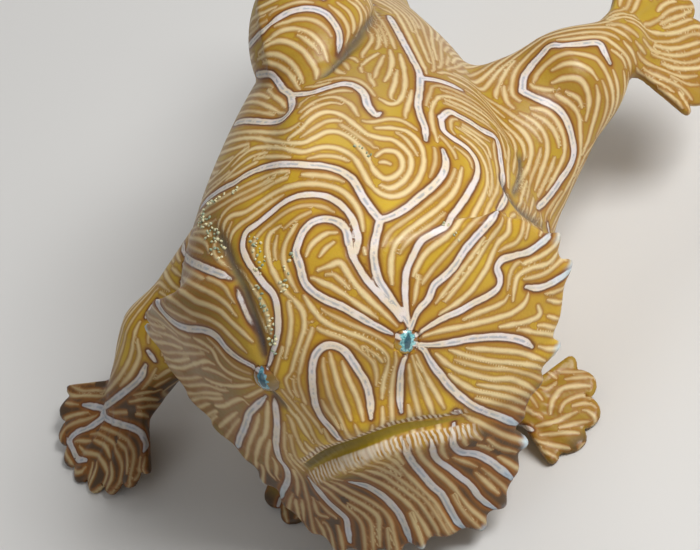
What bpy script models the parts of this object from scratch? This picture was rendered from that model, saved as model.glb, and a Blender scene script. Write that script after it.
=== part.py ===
"""A frogfish with a flat striped face, life size, resting on the floor on its belly, one pectoral
hand and both pelvic feet, with the other pectoral arm lifted in mid step.

The shape is worked out in millimetres: x towards the fish's left, y towards its tail, z up from
the floor, with the eyes at y = 0. The finished pieces are in metres, and the origin is on the
floor under the middle of the whole fish."""

import math

import bmesh
import bpy
import numpy as np
from mathutils import Vector

MM = 0.001

# Grid cell that the solids are sampled on, the gap between neighbours, and the triangles in all.
CELL = 0.8
FIN_STEPS = (1.2, 1.2, 0.5)
GAP = 0.45
FLOOR_REACH = 0.25
CARVED = 0.02
FIN_TRIANGLES = 4200
BODY_TRIANGLES = 5000
BODY_SPANS = {
    "pectoral_arm_right": ((-46.0, -20.0), (14.0, 52.0), (-1.6, 34.0)),
    "pectoral_arm_left": ((20.0, 42.0), (16.0, 60.0), (6.0, 36.0)),
    "tail": ((-18.0, 18.0), (56.0, 74.0), (2.0, 42.0)),
    "chin": ((-32.0, 32.0), (-14.0, 9.0), (-1.6, 26.0)),
    "head": ((-33.0, 33.0), (-14.0, 21.0), (-1.6, 53.0)),
    "trunk": ((-30.0, 30.0), (5.0, 60.0), (-1.6, 52.0)),
}

# Place of the origin, and the cuts that part the body.
ORIGIN = (-4.7, 40.75, 0.0)
SHOULDER_ACROSS = 23.0
HAND_ACROSS = 30.0
ARM_BEHIND = 22.0
PELVIC_CLOSE = 0.7
PELVIC_BELOW = 6.0
HEAD_CUT = 19.0
CHIN_CUT = 7.0
TAIL_CUT = 58.0
CAUDAL_CUT = 72.0
DORSAL_CUT = 33.0
ANAL_CUT = 54.0

# Trunk from snout to tail root: place along y, half width, back height, belly height, and how
# far its middle is drawn to the fish's left.
TRUNK_STATIONS = (
    (-3.0, 11.0, 38.0, 14.0, 0.0),
    (4.0, 18.0, 43.5, 6.0, 0.0),
    (12.0, 21.0, 46.0, 2.2, 0.4),
    (22.0, 20.8, 46.6, 0.2, 1.4),
    (32.0, 19.2, 45.6, -0.6, 2.0),
    (42.0, 16.6, 43.0, 0.4, 1.8),
    (52.0, 13.2, 39.2, 4.0, 1.2),
    (60.0, 9.6, 35.0, 9.0, 0.6),
    (67.0, 6.4, 31.5, 13.5, 0.0),
    (74.0, 4.4, 29.5, 16.5, 0.0),
)

# Face: a leaning, domed disc with a fleshy rim.
FACE_FRONT = Vector((0.0, -5.0, 30.5))
FACE_LEAN = math.radians(10.0)
FACE_CENTRE_UP = -6.0
FACE_RIM = (
    (0, 21.0), (31, 22.8), (43, 21.6), (51, 20.0), (62, 20.8), (80, 23.6), (94, 26.6),
    (107, 27.6), (119, 27.0), (135, 24.0), (158, 21.0), (180, 20.0),
)
RIGHT_CHEEK = (48.0, 17.0, 1.8)
RIM_THICKNESS = 1.5
FRINGE_TIPS = 38
FRINGE_REACH = 1.5

# Eyes and mouth, in the face's own across and up.
EYE_PLACES = {1: (8.9, 2.4), -1: (-6.9, 3.2)}
EYE_RADIUS = 2.1
EYE_BULGE = 1.25
MOUTH_UP = -10.6
MOUTH_HALF_WIDTH = 9.8

# Arms: shoulder, elbow and wrist with their radii; the hand's tip and the way its web spreads.
RIGHT_ARM = ((-14.0, 33.5, 20.0, 12.0), (-33.0, 31.5, 12.5, 5.4), (-40.0, 29.5, 6.0, 3.6))
RIGHT_HAND_TIP = (-52.5, 21.0, 1.2)
RIGHT_ARM_FACE = (-0.30, -0.45, 0.84)
LEFT_ARM = ((14.0, 36.0, 21.5, 13.0), (27.5, 46.0, 22.5, 6.4), (33.8, 51.5, 22.0, 3.4))
LEFT_HAND_TIP = (45.0, 58.0, 15.0)
LEFT_ARM_FACE = (0.30, -0.50, 0.81)
ARM_FLATNESS = 1.5
RIGHT_PALM = (-0.1, -0.1, 1.0)
LEFT_PALM = (0.3, -0.6, 1.0)
HAND_LENGTH = 14.0
HAND_SPREAD = math.radians(56.0)
HAND_RAYS = 9
HAND_BASE = 3.4
HAND_CURL = 0.010
WEB = 0.95

# Pelvic fins: hip, ankle and toe on the fish's left; the right one mirrors it.
PELVIC_HIP = (8.0, 12.0, 9.0, 4.2)
PELVIC_ANKLE = (13.5, 11.5, 3.6, 2.4)
PELVIC_TOE = (22.0, 9.5, 0.8)
PELVIC_LENGTH = 9.5
PELVIC_SPREAD = math.radians(50.0)
PELVIC_RAYS = 5
PELVIC_BASE = 2.2
PELVIC_SOLE = (0.0, -0.25, 1.0)

# Unpaired fins.
DORSAL_START = 36.0
DORSAL_END = 72.0
DORSAL_HEIGHT = 8.0
DORSAL_RAYS = 16
DORSAL_LEAN = 0.25
DORSAL_LOBE_CENTRE = (0.2, 46.0, 41.5)
DORSAL_LOBE_HALVES = (8.0, 13.5, 7.8)
ANAL_START = 55.0
ANAL_END = 72.0
ANAL_HEIGHT = 8.0
ANAL_RAYS = 9
ANAL_LEAN = 0.12
CAUDAL_ROOT = (0.0, 70.0, 22.5)
CAUDAL_TIP = (0.0, 90.0, 20.0)
CAUDAL_LENGTH = 18.5
CAUDAL_SPREAD = math.radians(52.0)
CAUDAL_RAYS = 9
CAUDAL_CURL = 0.012
CAUDAL_BASE = 4.6

# The two buried spines on the crown, each from front to rear with its radii.
CROWN_SPINES = (
    ((0.8, 6.0, 41.5, 2.0), (1.0, 10.0, 43.4, 1.8)),
    ((1.5, 16.0, 44.0, 3.4), (2.0, 24.0, 45.2, 2.6)),
)

OCHRE = (0.58, 0.34, 0.06)
BROWN = (0.32, 0.15, 0.05)
TURQUOISE = (0.10, 0.46, 0.50)


def smooth_min(a, b, radius):
    """The lower of two distances, with the crease between them filled to a radius."""
    blend = np.clip(0.5 + 0.5 * (b - a) / radius, 0.0, 1.0)
    return b + (a - b) * blend - radius * blend * (1.0 - blend)


def smooth_max(a, b, radius):
    return -smooth_min(-a, -b, radius)


def smooth_step(low, high, x):
    t = np.clip((x - low) / (high - low), 0.0, 1.0)
    return t * t * (3.0 - 2.0 * t)


def through(stations, column, at):
    """A smooth curve through one column of the stations, read at the given places."""
    xs = np.array([station[0] for station in stations], float)
    ys = np.array([station[column] for station in stations], float)
    slopes = np.gradient(ys, xs)
    at = np.clip(at, xs[0], xs[-1])
    i = np.clip(np.searchsorted(xs, at) - 1, 0, len(xs) - 2)
    step = xs[i + 1] - xs[i]
    t = (at - xs[i]) / step
    return (
        ys[i] * (1 + 2 * t) * (1 - t) ** 2
        + slopes[i] * step * t * (1 - t) ** 2
        + ys[i + 1] * t * t * (3 - 2 * t)
        + slopes[i + 1] * step * t * t * (t - 1)
    )


def limb(p, start, end, flat=(0.0, 0.0, 1.0), flatness=1.0):
    """Distance to a tapered limb from start to end, each (x, y, z, radius), thinner along flat."""
    a, b = np.array(start[:3]), np.array(end[:3])
    along = b - a
    t = np.clip((p - a) @ along / (along @ along), 0.0, 1.0)
    off = p - a - t[:, None] * along
    across = off @ np.array(flat)
    length = np.sqrt((off * off).sum(axis=1) + (flatness ** 2 - 1.0) * across ** 2)
    return length - (start[3] + t * (end[3] - start[3]))


def frame_of(root, tip, up):
    """A fin's own axes: along its middle ray, across it, and out of its face."""
    along = (Vector(tip) - Vector(root)).normalized()
    out = (Vector(up) - along * along.dot(Vector(up))).normalized()
    return np.array(along), np.array(out.cross(along)), np.array(out)


def fan_fin(p, root, axes, length, spread, rays, base, curl=0.0):
    """Distance to a fan of rays in a web, with a scalloped edge; base is the half width at its root."""
    off = p - np.array(root)
    along, across, out = (off @ axis for axis in axes)
    out = out + curl * along * np.abs(along)
    behind = base / math.tan(spread)
    reach = np.hypot(along + behind, across)
    turn = np.arctan2(across, along + behind)
    phase = turn / spread * (rays - 1) / 2.0
    scallop = np.abs(np.cos(math.pi * phase))
    edge = behind + length * (1.0 - 0.16 * (turn / spread) ** 2) - 1.3 * (1.0 - scallop ** 0.7)
    web = WEB * (1.3 - 0.4 * np.clip(reach / (behind + length), 0.0, 1.0))
    rib = 0.12 * np.cos(2.0 * math.pi * phase)
    side = (np.abs(turn) - spread) * np.minimum(reach, length)
    shell = smooth_max(np.abs(out) - web - rib, reach - edge, 0.8)
    return smooth_max(shell, side, 1.0)


def ridge_fin(across, along, up, height, rays):
    """Distance to a low fin that stands on the body's middle line; along runs from 0 to 1."""
    scallop = np.abs(np.cos(math.pi * along * rays))
    arch = np.clip(4.0 * along * (1.0 - along), 0.0, 1.0) ** 0.45
    edge = height * arch - 0.9 * (1.0 - scallop)
    web = WEB * (1.4 - 0.45 * np.clip(up / height, -0.5, 1.0))
    rib = 0.12 * np.cos(2.0 * math.pi * along * rays)
    return smooth_max(np.abs(across) - web - rib, up - edge, 0.8)


def face_axes(p):
    """Across, up and forward of each point in the leaning face's own frame."""
    off = p - np.array(FACE_FRONT)
    lean_sin, lean_cos = math.sin(FACE_LEAN), math.cos(FACE_LEAN)
    up = off[:, 1] * lean_sin + off[:, 2] * lean_cos
    forward = -off[:, 1] * lean_cos + off[:, 2] * lean_sin
    return off[:, 0], up, forward


def face_point(across, up, forward):
    lean_sin, lean_cos = math.sin(FACE_LEAN), math.cos(FACE_LEAN)
    return FACE_FRONT + Vector((
        across,
        up * lean_sin - forward * lean_cos,
        up * lean_cos + forward * lean_sin,
    ))


def face_height(across, up):
    """How far forward the face stands: a dome, drawn back more on its right, with a blunt snout."""
    dome = -0.0205 * across ** 2 - 0.006 * (up + 3.0) ** 2 - 0.022 * np.clip(up - 7.0, 0.0, None) ** 2
    dome -= 0.012 * np.clip(-across - 8.0, 0.0, None) ** 2
    dome += 0.013 * np.clip(-up - 11.0, 0.0, None) ** 2
    snout = 3.2 * np.exp(-((across + 0.5) / 6.5) ** 2 - ((up - 1.0) / 10.0) ** 2)
    lips = 1.5 * np.exp(-((up - MOUTH_UP - 2.6) / 2.0) ** 2 - (across / MOUTH_HALF_WIDTH) ** 4)
    lower = 1.9 * np.exp(-((up - MOUTH_UP + 2.6) / 2.2) ** 2 - (across / MOUTH_HALF_WIDTH) ** 4)
    lids = sum(
        1.3 * np.exp(-((across - eye_across) ** 2 + (up - eye_up) ** 2) / 9.0)
        for eye_across, eye_up in EYE_PLACES.values()
    )
    return dome + snout + lips + lower + lids - 2.6


def face_rim(turn):
    """Radius of the face's edge at an angle from the chin, with its fleshy tips."""
    degrees = np.degrees(np.abs(turn))
    fringe = np.abs(np.cos(0.5 * FRINGE_TIPS * turn)) ** 3
    large = 0.55 + 0.45 * np.cos(0.37 * FRINGE_TIPS * turn + 0.8)
    keep = 1.0 - smooth_step(112.0, 135.0, degrees)
    place, width, extra = RIGHT_CHEEK
    cheek = extra * np.exp(-((np.degrees(turn) + place) / width) ** 2)
    return through(FACE_RIM, 1, degrees) + cheek + FRINGE_REACH * fringe * large * keep - 0.5 * keep


def face_disc(p):
    across, up, forward = face_axes(p)
    down = FACE_CENTRE_UP - up
    reach = np.hypot(across, down)
    turn = np.arctan2(across, down)
    inside = face_rim(turn) - reach
    depth = RIM_THICKNESS + 0.62 * np.clip(inside, 0.0, 22.0)
    front = face_height(across, up)
    plate = smooth_max(forward - front, front - depth - forward, 1.2)
    return smooth_max(plate * 0.8, -inside, 1.4)


def trunk(p):
    x, y, z = p.T
    x = x - through(TRUNK_STATIONS, 4, y)
    half = through(TRUNK_STATIONS, 1, y)
    back = through(TRUNK_STATIONS, 2, y)
    belly = through(TRUNK_STATIONS, 3, y)
    middle, rise = 0.5 * (back + belly), 0.5 * (back - belly)
    ring = (np.abs(x / half) ** 2.3 + np.abs((z - middle) / rise) ** 2.3) ** (1 / 2.3)
    wall = (ring - 1.0) * np.minimum(half, rise)
    return smooth_max(smooth_max(wall, TRUNK_STATIONS[0][0] - y, 4.0), y - 76.0, 2.0)


def arm(p, joints, face):
    upper = limb(p, joints[0], joints[1], face, ARM_FLATNESS)
    fore = limb(p, joints[1], joints[2])
    return smooth_min(upper, fore, 2.5)


def hand(p, wrist, tip, up):
    axes = frame_of(wrist[:3], tip, up)
    return fan_fin(p, wrist[:3], axes, HAND_LENGTH, HAND_SPREAD, HAND_RAYS, HAND_BASE, HAND_CURL)


def pelvic(p, side):
    flip = np.array((side, 1.0, 1.0))
    q = p * flip
    leg = limb(q, PELVIC_HIP, PELVIC_ANKLE)
    axes = frame_of(PELVIC_ANKLE[:3], PELVIC_TOE, PELVIC_SOLE)
    web = fan_fin(q, PELVIC_ANKLE[:3], axes, PELVIC_LENGTH, PELVIC_SPREAD, PELVIC_RAYS, PELVIC_BASE)
    return smooth_min(leg, web, 1.2)


def dorsal(p):
    """The fleshy dorsal fin: a thick front lobe folded to the right and a low ridge behind it."""
    x, y, z = p.T
    lobe_off = (p - np.array(DORSAL_LOBE_CENTRE)) / np.array(DORSAL_LOBE_HALVES)
    lobe = (np.sqrt((lobe_off ** 2).sum(axis=1)) - 1.0) * min(DORSAL_LOBE_HALVES)
    along = (y - DORSAL_START) / (DORSAL_END - DORSAL_START)
    up = z - through(TRUNK_STATIONS, 2, y) + 1.0
    ridge = ridge_fin(x + 1.0 + DORSAL_LEAN * up, along, up, DORSAL_HEIGHT, DORSAL_RAYS)
    ends = np.maximum(DORSAL_START - y, y - DORSAL_END)
    floor = -up - 4.0
    return smooth_min(lobe, smooth_max(smooth_max(ridge, ends, 1.0), floor, 1.0), 2.0)


def anal(p):
    x, y, z = p.T
    along = (y - ANAL_START) / (ANAL_END - ANAL_START)
    up = through(TRUNK_STATIONS, 3, y) - z + 1.0
    ridge = ridge_fin(x - ANAL_LEAN * up, along, up, ANAL_HEIGHT, ANAL_RAYS)
    ends = np.maximum(ANAL_START - y, y - ANAL_END)
    return smooth_max(smooth_max(ridge, ends, 1.0), -up - 4.0, 1.0)


def caudal(p):
    axes = frame_of(CAUDAL_ROOT, CAUDAL_TIP, (1.0, 0.0, 0.0))
    size = (CAUDAL_LENGTH, CAUDAL_SPREAD, CAUDAL_RAYS, CAUDAL_BASE, CAUDAL_CURL)
    return fan_fin(p, CAUDAL_ROOT, axes, *size)


def spine_lumps(p):
    """The two buried dorsal spines on the crown, behind the eyes."""
    front, rear = (limb(p, *ends) for ends in CROWN_SPINES)
    return smooth_min(rear, front, 2.0)


def fish(p):
    """Distance to the whole fish without its eyeballs, cut level where it rests."""
    body = smooth_min(trunk(p), face_disc(p), 4.0)
    body = smooth_min(body, spine_lumps(p), 3.0)
    for joints, tip, face, up in (
        (RIGHT_ARM, RIGHT_HAND_TIP, RIGHT_ARM_FACE, RIGHT_PALM),
        (LEFT_ARM, LEFT_HAND_TIP, LEFT_ARM_FACE, LEFT_PALM),
    ):
        whole_arm = smooth_min(arm(p, joints, face), hand(p, joints[2], tip, up), 2.0)
        body = smooth_min(body, whole_arm, 3.5)
    for side in (-1.0, 1.0):
        body = smooth_min(body, pelvic(p, side), 2.0)
    body = smooth_min(body, dorsal(p), 1.2)
    body = smooth_min(body, anal(p), 1.5)
    body = smooth_min(body, caudal(p), 2.0)
    for side in (-1, 1):
        body = smooth_max(body, eye_socket(p, side), 0.6)
    return np.maximum(body, -p[:, 2])


def eye_centre(side):
    """Centre of an eyeball, sunk so that only its front cap shows."""
    across, up = EYE_PLACES[side]
    forward = float(face_height(np.array([across]), np.array([up]))[0])
    return face_point(across, up, forward - EYE_RADIUS + EYE_BULGE)


def eye_socket(p, side):
    """Positive within the hollow that an eyeball sits in."""
    off = p - np.array(eye_centre(side))
    return EYE_RADIUS + GAP - np.sqrt((off * off).sum(axis=1))


def beyond(point, normal):
    """The half space on the side of the point that the normal shows: its distance is negative there."""
    n = np.array(Vector(normal).normalized())
    return lambda p: (np.array(point) - p) @ n


def both(*regions):
    return lambda p: np.max([region(p) for region in regions], axis=0)


def pectoral_regions(side, joints, tip):
    """The hand beyond the wrist, and the outer arm behind the face's edge and off the body."""
    wrist = np.array(joints[2][:3])
    hand_side = both(beyond((side * HAND_ACROSS, 0, 0), (side, 0, 0)), beyond(wrist, tip - wrist))
    off_body = beyond((side * SHOULDER_ACROSS, 0, 0), (side, 0, 0))
    return hand_side, both(off_body, beyond((0, ARM_BEHIND, 0), (0, 1, 0)))


def pelvic_region(side):
    """Close round a pelvic foot, from where its leg comes out of the throat."""
    return both(
        lambda p: pelvic(p, side) - PELVIC_CLOSE,
        beyond((side * PELVIC_ANKLE[0], 0, 0), (side, 0, -0.6)),
        beyond((0, 0, PELVIC_BELOW), (0, 0, -1)),
    )


def back_fin_region(p):
    return through(TRUNK_STATIONS, 2, p[:, 1]) + 0.6 - p[:, 2]


def belly_fin_region(p):
    return p[:, 2] - through(TRUNK_STATIONS, 3, p[:, 1]) + 0.6


def shares():
    """Each node's share of space, in order: a later node has what the earlier ones leave."""
    right_hand, right_arm = pectoral_regions(-1, RIGHT_ARM, RIGHT_HAND_TIP)
    left_hand, left_arm = pectoral_regions(1, LEFT_ARM, LEFT_HAND_TIP)
    upright = (0.0, math.sin(FACE_LEAN), math.cos(FACE_LEAN))
    below_mouth = beyond(face_point(0.0, MOUTH_UP, 0.0), [-c for c in upright])
    return (
        ("caudal_fin", beyond((0, CAUDAL_CUT, 0), (0, 1, 0))),
        ("pectoral_fin_right", right_hand),
        ("pectoral_fin_left", left_hand),
        ("pectoral_arm_right", right_arm),
        ("pectoral_arm_left", left_arm),
        ("pelvic_fin_right", pelvic_region(-1)),
        ("pelvic_fin_left", pelvic_region(1)),
        ("dorsal_fin", both(back_fin_region, beyond((0, DORSAL_CUT, 0), (0, 1, 0)))),
        ("anal_fin", both(belly_fin_region, beyond((0, ANAL_CUT, 0), (0, 1, 0)))),
        ("tail", beyond((0, TAIL_CUT, 0), (0, 1, 0))),
        ("chin", both(below_mouth, beyond((0, CHIN_CUT, 0), (0, -1, 0)))),
        ("head", beyond((0, HEAD_CUT, 0), (0, -1, 0))),
        ("trunk", lambda p: np.full(len(p), -100.0)),
    )


def fin_grids():
    """A grid for each fin that lies along its rays, with its finest steps through the web."""
    right = frame_of(RIGHT_ARM[2][:3], RIGHT_HAND_TIP, RIGHT_PALM)
    left = frame_of(LEFT_ARM[2][:3], LEFT_HAND_TIP, LEFT_PALM)
    foot = frame_of(PELVIC_ANKLE[:3], PELVIC_TOE, PELVIC_SOLE)
    mirror = np.array((-1.0, 1.0, 1.0))
    ankle = np.array(PELVIC_ANKLE[:3])
    hand_span = ((-8.0, HAND_LENGTH + 4.0), (-19.0, 19.0), (-7.0, 7.0))
    foot_span = ((-12.0, PELVIC_LENGTH + 5.0), (-15.0, 15.0), (-10.0, 10.0))
    upright = np.array(((0.0, 1.0, 0.0), (0.0, 0.0, 1.0), (1.0, 0.0, 0.0)))
    return {
        "pectoral_fin_right": (np.array(RIGHT_ARM[2][:3]), right, hand_span),
        "pectoral_fin_left": (np.array(LEFT_ARM[2][:3]), left, hand_span),
        "pelvic_fin_left": (ankle, foot, foot_span),
        "pelvic_fin_right": (ankle * mirror, mirrored(foot), foot_span),
        "caudal_fin": (np.zeros(3), upright, ((CAUDAL_CUT - 2.0, 92.0), (2.0, 42.0), (-6.0, 16.0))),
        "dorsal_fin": (np.zeros(3), upright, ((DORSAL_CUT - 4.0, 76.0), (24.0, 56.0), (-14.0, 14.0))),
        "anal_fin": (np.zeros(3), upright, ((ANAL_CUT - 2.0, 76.0), (-1.0, 20.0), (-7.0, 9.0))),
    }


def mirrored(axes):
    """The same axes on the fish's other side, kept right-handed."""
    flip = np.array((-1.0, 1.0, 1.0))
    along, across, out = axes
    return along * flip, -across * flip, out * flip


def sample(distance, origin, axes, spans, steps):
    """Points and faces of a distance's zero surface, on a grid laid along three axes."""
    ticks = [np.arange(low, high, step) for (low, high), step in zip(spans, steps)]
    grid = np.stack(np.meshgrid(*ticks, indexing="ij"), axis=-1)
    value = distance(grid.reshape(-1, 3) @ np.array(axes) + origin).reshape(grid.shape[:3])
    points, faces = surface(value)
    local = points * np.array(steps) + np.array([tick[0] for tick in ticks])
    return largest_piece(local @ np.array(axes) + origin, faces)


def corner_views(value, axes):
    """The grid seen from each corner of its squares or cubes, by the corner's offset on those axes."""
    views = {}
    for offset in np.ndindex(*(2,) * len(axes)):
        window = [slice(None)] * value.ndim
        for axis, step in zip(axes, offset):
            window[axis] = slice(step, value.shape[axis] - 1 + step)
        views[offset] = value[tuple(window)]
    return views


def carve(first, second, where):
    """Opens the shallower of two inside corners, so that no two sheets meet at a corner or edge."""
    shallow = first > second
    first[where & shallow] = CARVED
    second[where & ~shallow] = CARVED


def without_pinches(value):
    """The same distances, with grid squares and cubes opened where two sheets would touch."""
    pinched = True
    while pinched:
        pinched = False
        for axes in ((0, 1), (1, 2), (0, 2)):
            v = corner_views(value, axes)
            for one, other, left, right in (((0, 0), (1, 1), (0, 1), (1, 0)), ((0, 1), (1, 0), (0, 0), (1, 1))):
                where = (v[one] < 0) & (v[other] < 0) & (v[left] >= 0) & (v[right] >= 0)
                if where.any():
                    carve(v[one], v[other], where)
                    pinched = True
        v = corner_views(value, (0, 1, 2))
        inside = sum((corner < 0).astype(int) for corner in v.values())
        for one in ((0, 0, 0), (0, 0, 1), (0, 1, 0), (1, 0, 0)):
            other = tuple(1 - step for step in one)
            where = (inside == 2) & (v[one] < 0) & (v[other] < 0)
            if where.any():
                carve(v[one], v[other], where)
                pinched = True
            beside = (1 - one[0], one[1], one[2])
            where = (inside == 6) & (v[one] >= 0) & (v[other] >= 0)
            if where.any():
                v[beside][where] = CARVED
                pinched = True
    return value


def surface(value):
    """Points, in grid steps, and four-sided faces of the zero surface of sampled distances."""
    value = without_pinches(value)
    inside = value < 0.0
    shape = value.shape
    cells = tuple(n - 1 for n in shape)
    corner = np.stack(np.meshgrid(*[np.arange(n) for n in cells], indexing="ij"), axis=-1).astype(float)
    total, count = np.zeros(cells + (3,)), np.zeros(cells)
    for axis in range(3):
        b, c = (a for a in range(3) if a != axis)
        for db in (0, 1):
            for dc in (0, 1):
                start = [slice(0, n - 1) for n in shape]
                start[b] = slice(db, shape[b] - 1 + db)
                start[c] = slice(dc, shape[c] - 1 + dc)
                end = list(start)
                end[axis] = slice(1, shape[axis])
                first, last = value[tuple(start)], value[tuple(end)]
                crossing = (first < 0.0) != (last < 0.0)
                point = corner.copy()
                point[..., axis] += np.where(crossing, first / np.where(crossing, first - last, 1.0), 0.0)
                point[..., b] += db
                point[..., c] += dc
                total += np.where(crossing[..., None], point, 0.0)
                count += crossing
    used = count > 0
    number = np.full(cells, -1)
    number[used] = np.arange(used.sum())
    faces = []
    for axis in range(3):
        b, c = (axis + 1) % 3, (axis + 2) % 3
        here = [slice(1, n - 1) for n in shape]
        here[axis] = slice(0, shape[axis] - 1)
        there = list(here)
        there[axis] = slice(1, shape[axis])
        low, high = inside[tuple(here)], inside[tuple(there)]
        where = np.argwhere(low != high)
        around = []
        for db, dc in ((0, 0), (1, 0), (1, 1), (0, 1)):
            at = where.copy()
            at[:, b] += db
            at[:, c] += dc
            around.append(number[tuple(at.T)])
        quads = np.stack(around, axis=1)
        entering = high[low != high]
        quads[entering] = quads[entering][:, ::-1]
        faces.append(quads)
    return total[used] / count[used][:, None], np.concatenate(faces)


def largest_piece(points, faces):
    """Only the biggest connected piece, so that a cut leaves no crumbs."""
    label = np.arange(len(points))
    settled = False
    while not settled:
        lowest = label[faces].min(axis=1)
        spread = label.copy()
        for corner in range(4):
            np.minimum.at(spread, faces[:, corner], lowest)
        spread = spread[spread]
        settled = bool((spread == label).all())
        label = spread
    names, sizes = np.unique(label, return_counts=True)
    keep = label == names[np.argmax(sizes)]
    index = np.cumsum(keep) - 1
    return points[keep], index[faces[keep[faces[:, 0]]]]


def material(name, colour, roughness):
    shade = bpy.data.materials.new(name)
    shade.use_nodes = True
    shader = shade.node_tree.nodes["Principled BSDF"]
    shader.inputs["Base Color"].default_value = (*colour, 1.0)
    shader.inputs["Roughness"].default_value = roughness
    shader.inputs["Metallic"].default_value = 0.0
    return shade


def add_piece(name, mesh, shade):
    mesh.materials.append(shade)
    mesh.shade_smooth()
    piece = bpy.data.objects.new(name, mesh)
    bpy.context.scene.collection.objects.link(piece)
    return piece


def settle(mesh):
    """Brings every point that lies within a hair of the floor onto it, as the flats the fish rests on."""
    for vertex in mesh.vertices:
        if vertex.co.z < FLOOR_REACH * MM:
            vertex.co.z = 0.0


def add_flesh():
    """All nodes of flesh: fins on grids of their own, the rest on one grid and then thinned out."""
    ochre = material("ochre striped skin", OCHRE, 0.45)
    brown = material("brown fin web", BROWN, 0.5)
    fins = fin_grids()
    level = np.eye(3)
    pieces, taken = [], []
    for name, region in shares():
        others = list(taken)

        def node_distance(p, region=region, others=others):
            parts = [fish(p), region(p)] + [GAP - other(p) for other in others]
            return np.max(parts, axis=0)

        if name in fins:
            points, faces = sample(node_distance, *fins[name], FIN_STEPS)
        else:
            points, faces = sample(node_distance, np.zeros(3), level, BODY_SPANS[name], (CELL,) * 3)
        taken.append(region)
        mesh = bpy.data.meshes.new(name)
        mesh.from_pydata(((points - ORIGIN) * MM).tolist(), [], faces.tolist())
        pieces.append(add_piece(name, mesh, brown if name in fins else ochre))
    for group, budget in (
        ([piece for piece in pieces if piece.name in fins], FIN_TRIANGLES),
        ([piece for piece in pieces if piece.name not in fins], BODY_TRIANGLES),
    ):
        dense = 2 * sum(len(piece.data.polygons) for piece in group)
        for piece in group:
            thin = piece.modifiers.new("thin out", "DECIMATE")
            thin.ratio = budget / dense
            thin.use_collapse_triangulate = True
    graph = bpy.context.evaluated_depsgraph_get()
    for piece in pieces:
        thinned = bpy.data.meshes.new_from_object(piece.evaluated_get(graph))
        piece.modifiers.clear()
        piece.data = thinned
        settle(thinned)


def add_eye(name, side):
    mesh = bpy.data.meshes.new(name)
    ball = bmesh.new()
    bmesh.ops.create_uvsphere(ball, u_segments=16, v_segments=10, radius=EYE_RADIUS * MM)
    ball.to_mesh(mesh)
    ball.free()
    eye = add_piece(name, mesh, material(name + " glassy turquoise", TURQUOISE, 0.08))
    eye.location = (eye_centre(side) - Vector(ORIGIN)) * MM


def main():
    for leftover in list(bpy.data.objects):
        bpy.data.objects.remove(leftover)
    add_flesh()
    add_eye("eye_left", 1)
    add_eye("eye_right", -1)


main()
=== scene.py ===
import math

import bpy
import numpy as np
from mathutils import Matrix, Vector
from mathutils.bvhtree import BVHTree
from mathutils.kdtree import KDTree


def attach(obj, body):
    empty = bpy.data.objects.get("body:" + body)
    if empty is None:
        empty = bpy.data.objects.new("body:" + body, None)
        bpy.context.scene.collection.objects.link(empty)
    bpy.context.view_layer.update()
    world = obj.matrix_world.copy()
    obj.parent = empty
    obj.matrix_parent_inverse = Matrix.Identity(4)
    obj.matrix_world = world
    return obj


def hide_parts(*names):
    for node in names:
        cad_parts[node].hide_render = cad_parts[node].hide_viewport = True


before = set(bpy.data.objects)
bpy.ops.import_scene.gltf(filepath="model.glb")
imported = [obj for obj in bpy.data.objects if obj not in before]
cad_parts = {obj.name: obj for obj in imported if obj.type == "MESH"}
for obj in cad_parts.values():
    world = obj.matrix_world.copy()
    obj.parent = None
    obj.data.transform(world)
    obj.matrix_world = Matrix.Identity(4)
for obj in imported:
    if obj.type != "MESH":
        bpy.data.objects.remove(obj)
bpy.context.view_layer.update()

# The fish is shaped in millimetres: x towards its left, y towards its tail, z up from the floor,
# with the eyes at y = 0. ORIGIN is the place, in those millimetres, of the finished origin.
MM = 0.001
ORIGIN = np.array((-4.7, 40.75, 0.0))

# The skin's mesh: the box that is searched for it, its cell, and how near an eye it is made finest.
GRID_LOW = (-57.0, -16.0, -1.3)
GRID_HIGH = (48.5, 92.5, 52.0)
SKIN_CELL = 0.71
EYE_MESH_REACH = 3.2
EYE_MESH_STEP = 0.2

# How close the points are, in pixels, that are read off the picture's lines, folds and strips of
# granules, and the gaps, in millimetres, where a line's run of points is broken in two.
LINE_PIXELS = 1.6
FOLD_PIXELS = 2.0
STRIP_PIXELS = 3.0
LINE_JUMP = 1.6
RULED_JUMP = 1.8

# Fine lines made by rule: their spacing where the picture shows the skin and where it doesn't, the
# shares of it that are kept clear, how long they may be in points, and how far each point steps.
FINE_SPACING = 1.08
HIDDEN_SPACING = 1.45
FINE_CLEAR_AHEAD = 0.60
FINE_CLEAR_START = 0.80
FINE_LONGEST = 500
FINE_SHORTEST = 9
FINE_STEP = 0.4
FINE_SEED = 7
GRAIN_ROUNDS = 90
CROWD_BOX = 1.5

# Widths: half a line's width at no weight, what a weight of 1 adds, and the least that is drawn.
# Lines from BROAD_FROM up are broad. The rooms are what each kind keeps clear of stronger lines.
LINE_HALF_LEAST = 0.22
LINE_HALF_MORE = 0.23
LINE_HALF_DRAWN = 0.13
BROAD_FROM = 0.65
BROAD_ROOM = 0.3
FINE_ROOM = 0.62
FINE_OFF_BROAD = 0.30
ROOM_OF_WEIGHT = 0.30
FINE_CROWDING = 0.30
NO_CROWDING = 9.0
NEIGHBOUR_REACH = 1.1
FREE_END_GAP = 0.7
FINE_HIDDEN = 1.3

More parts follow.
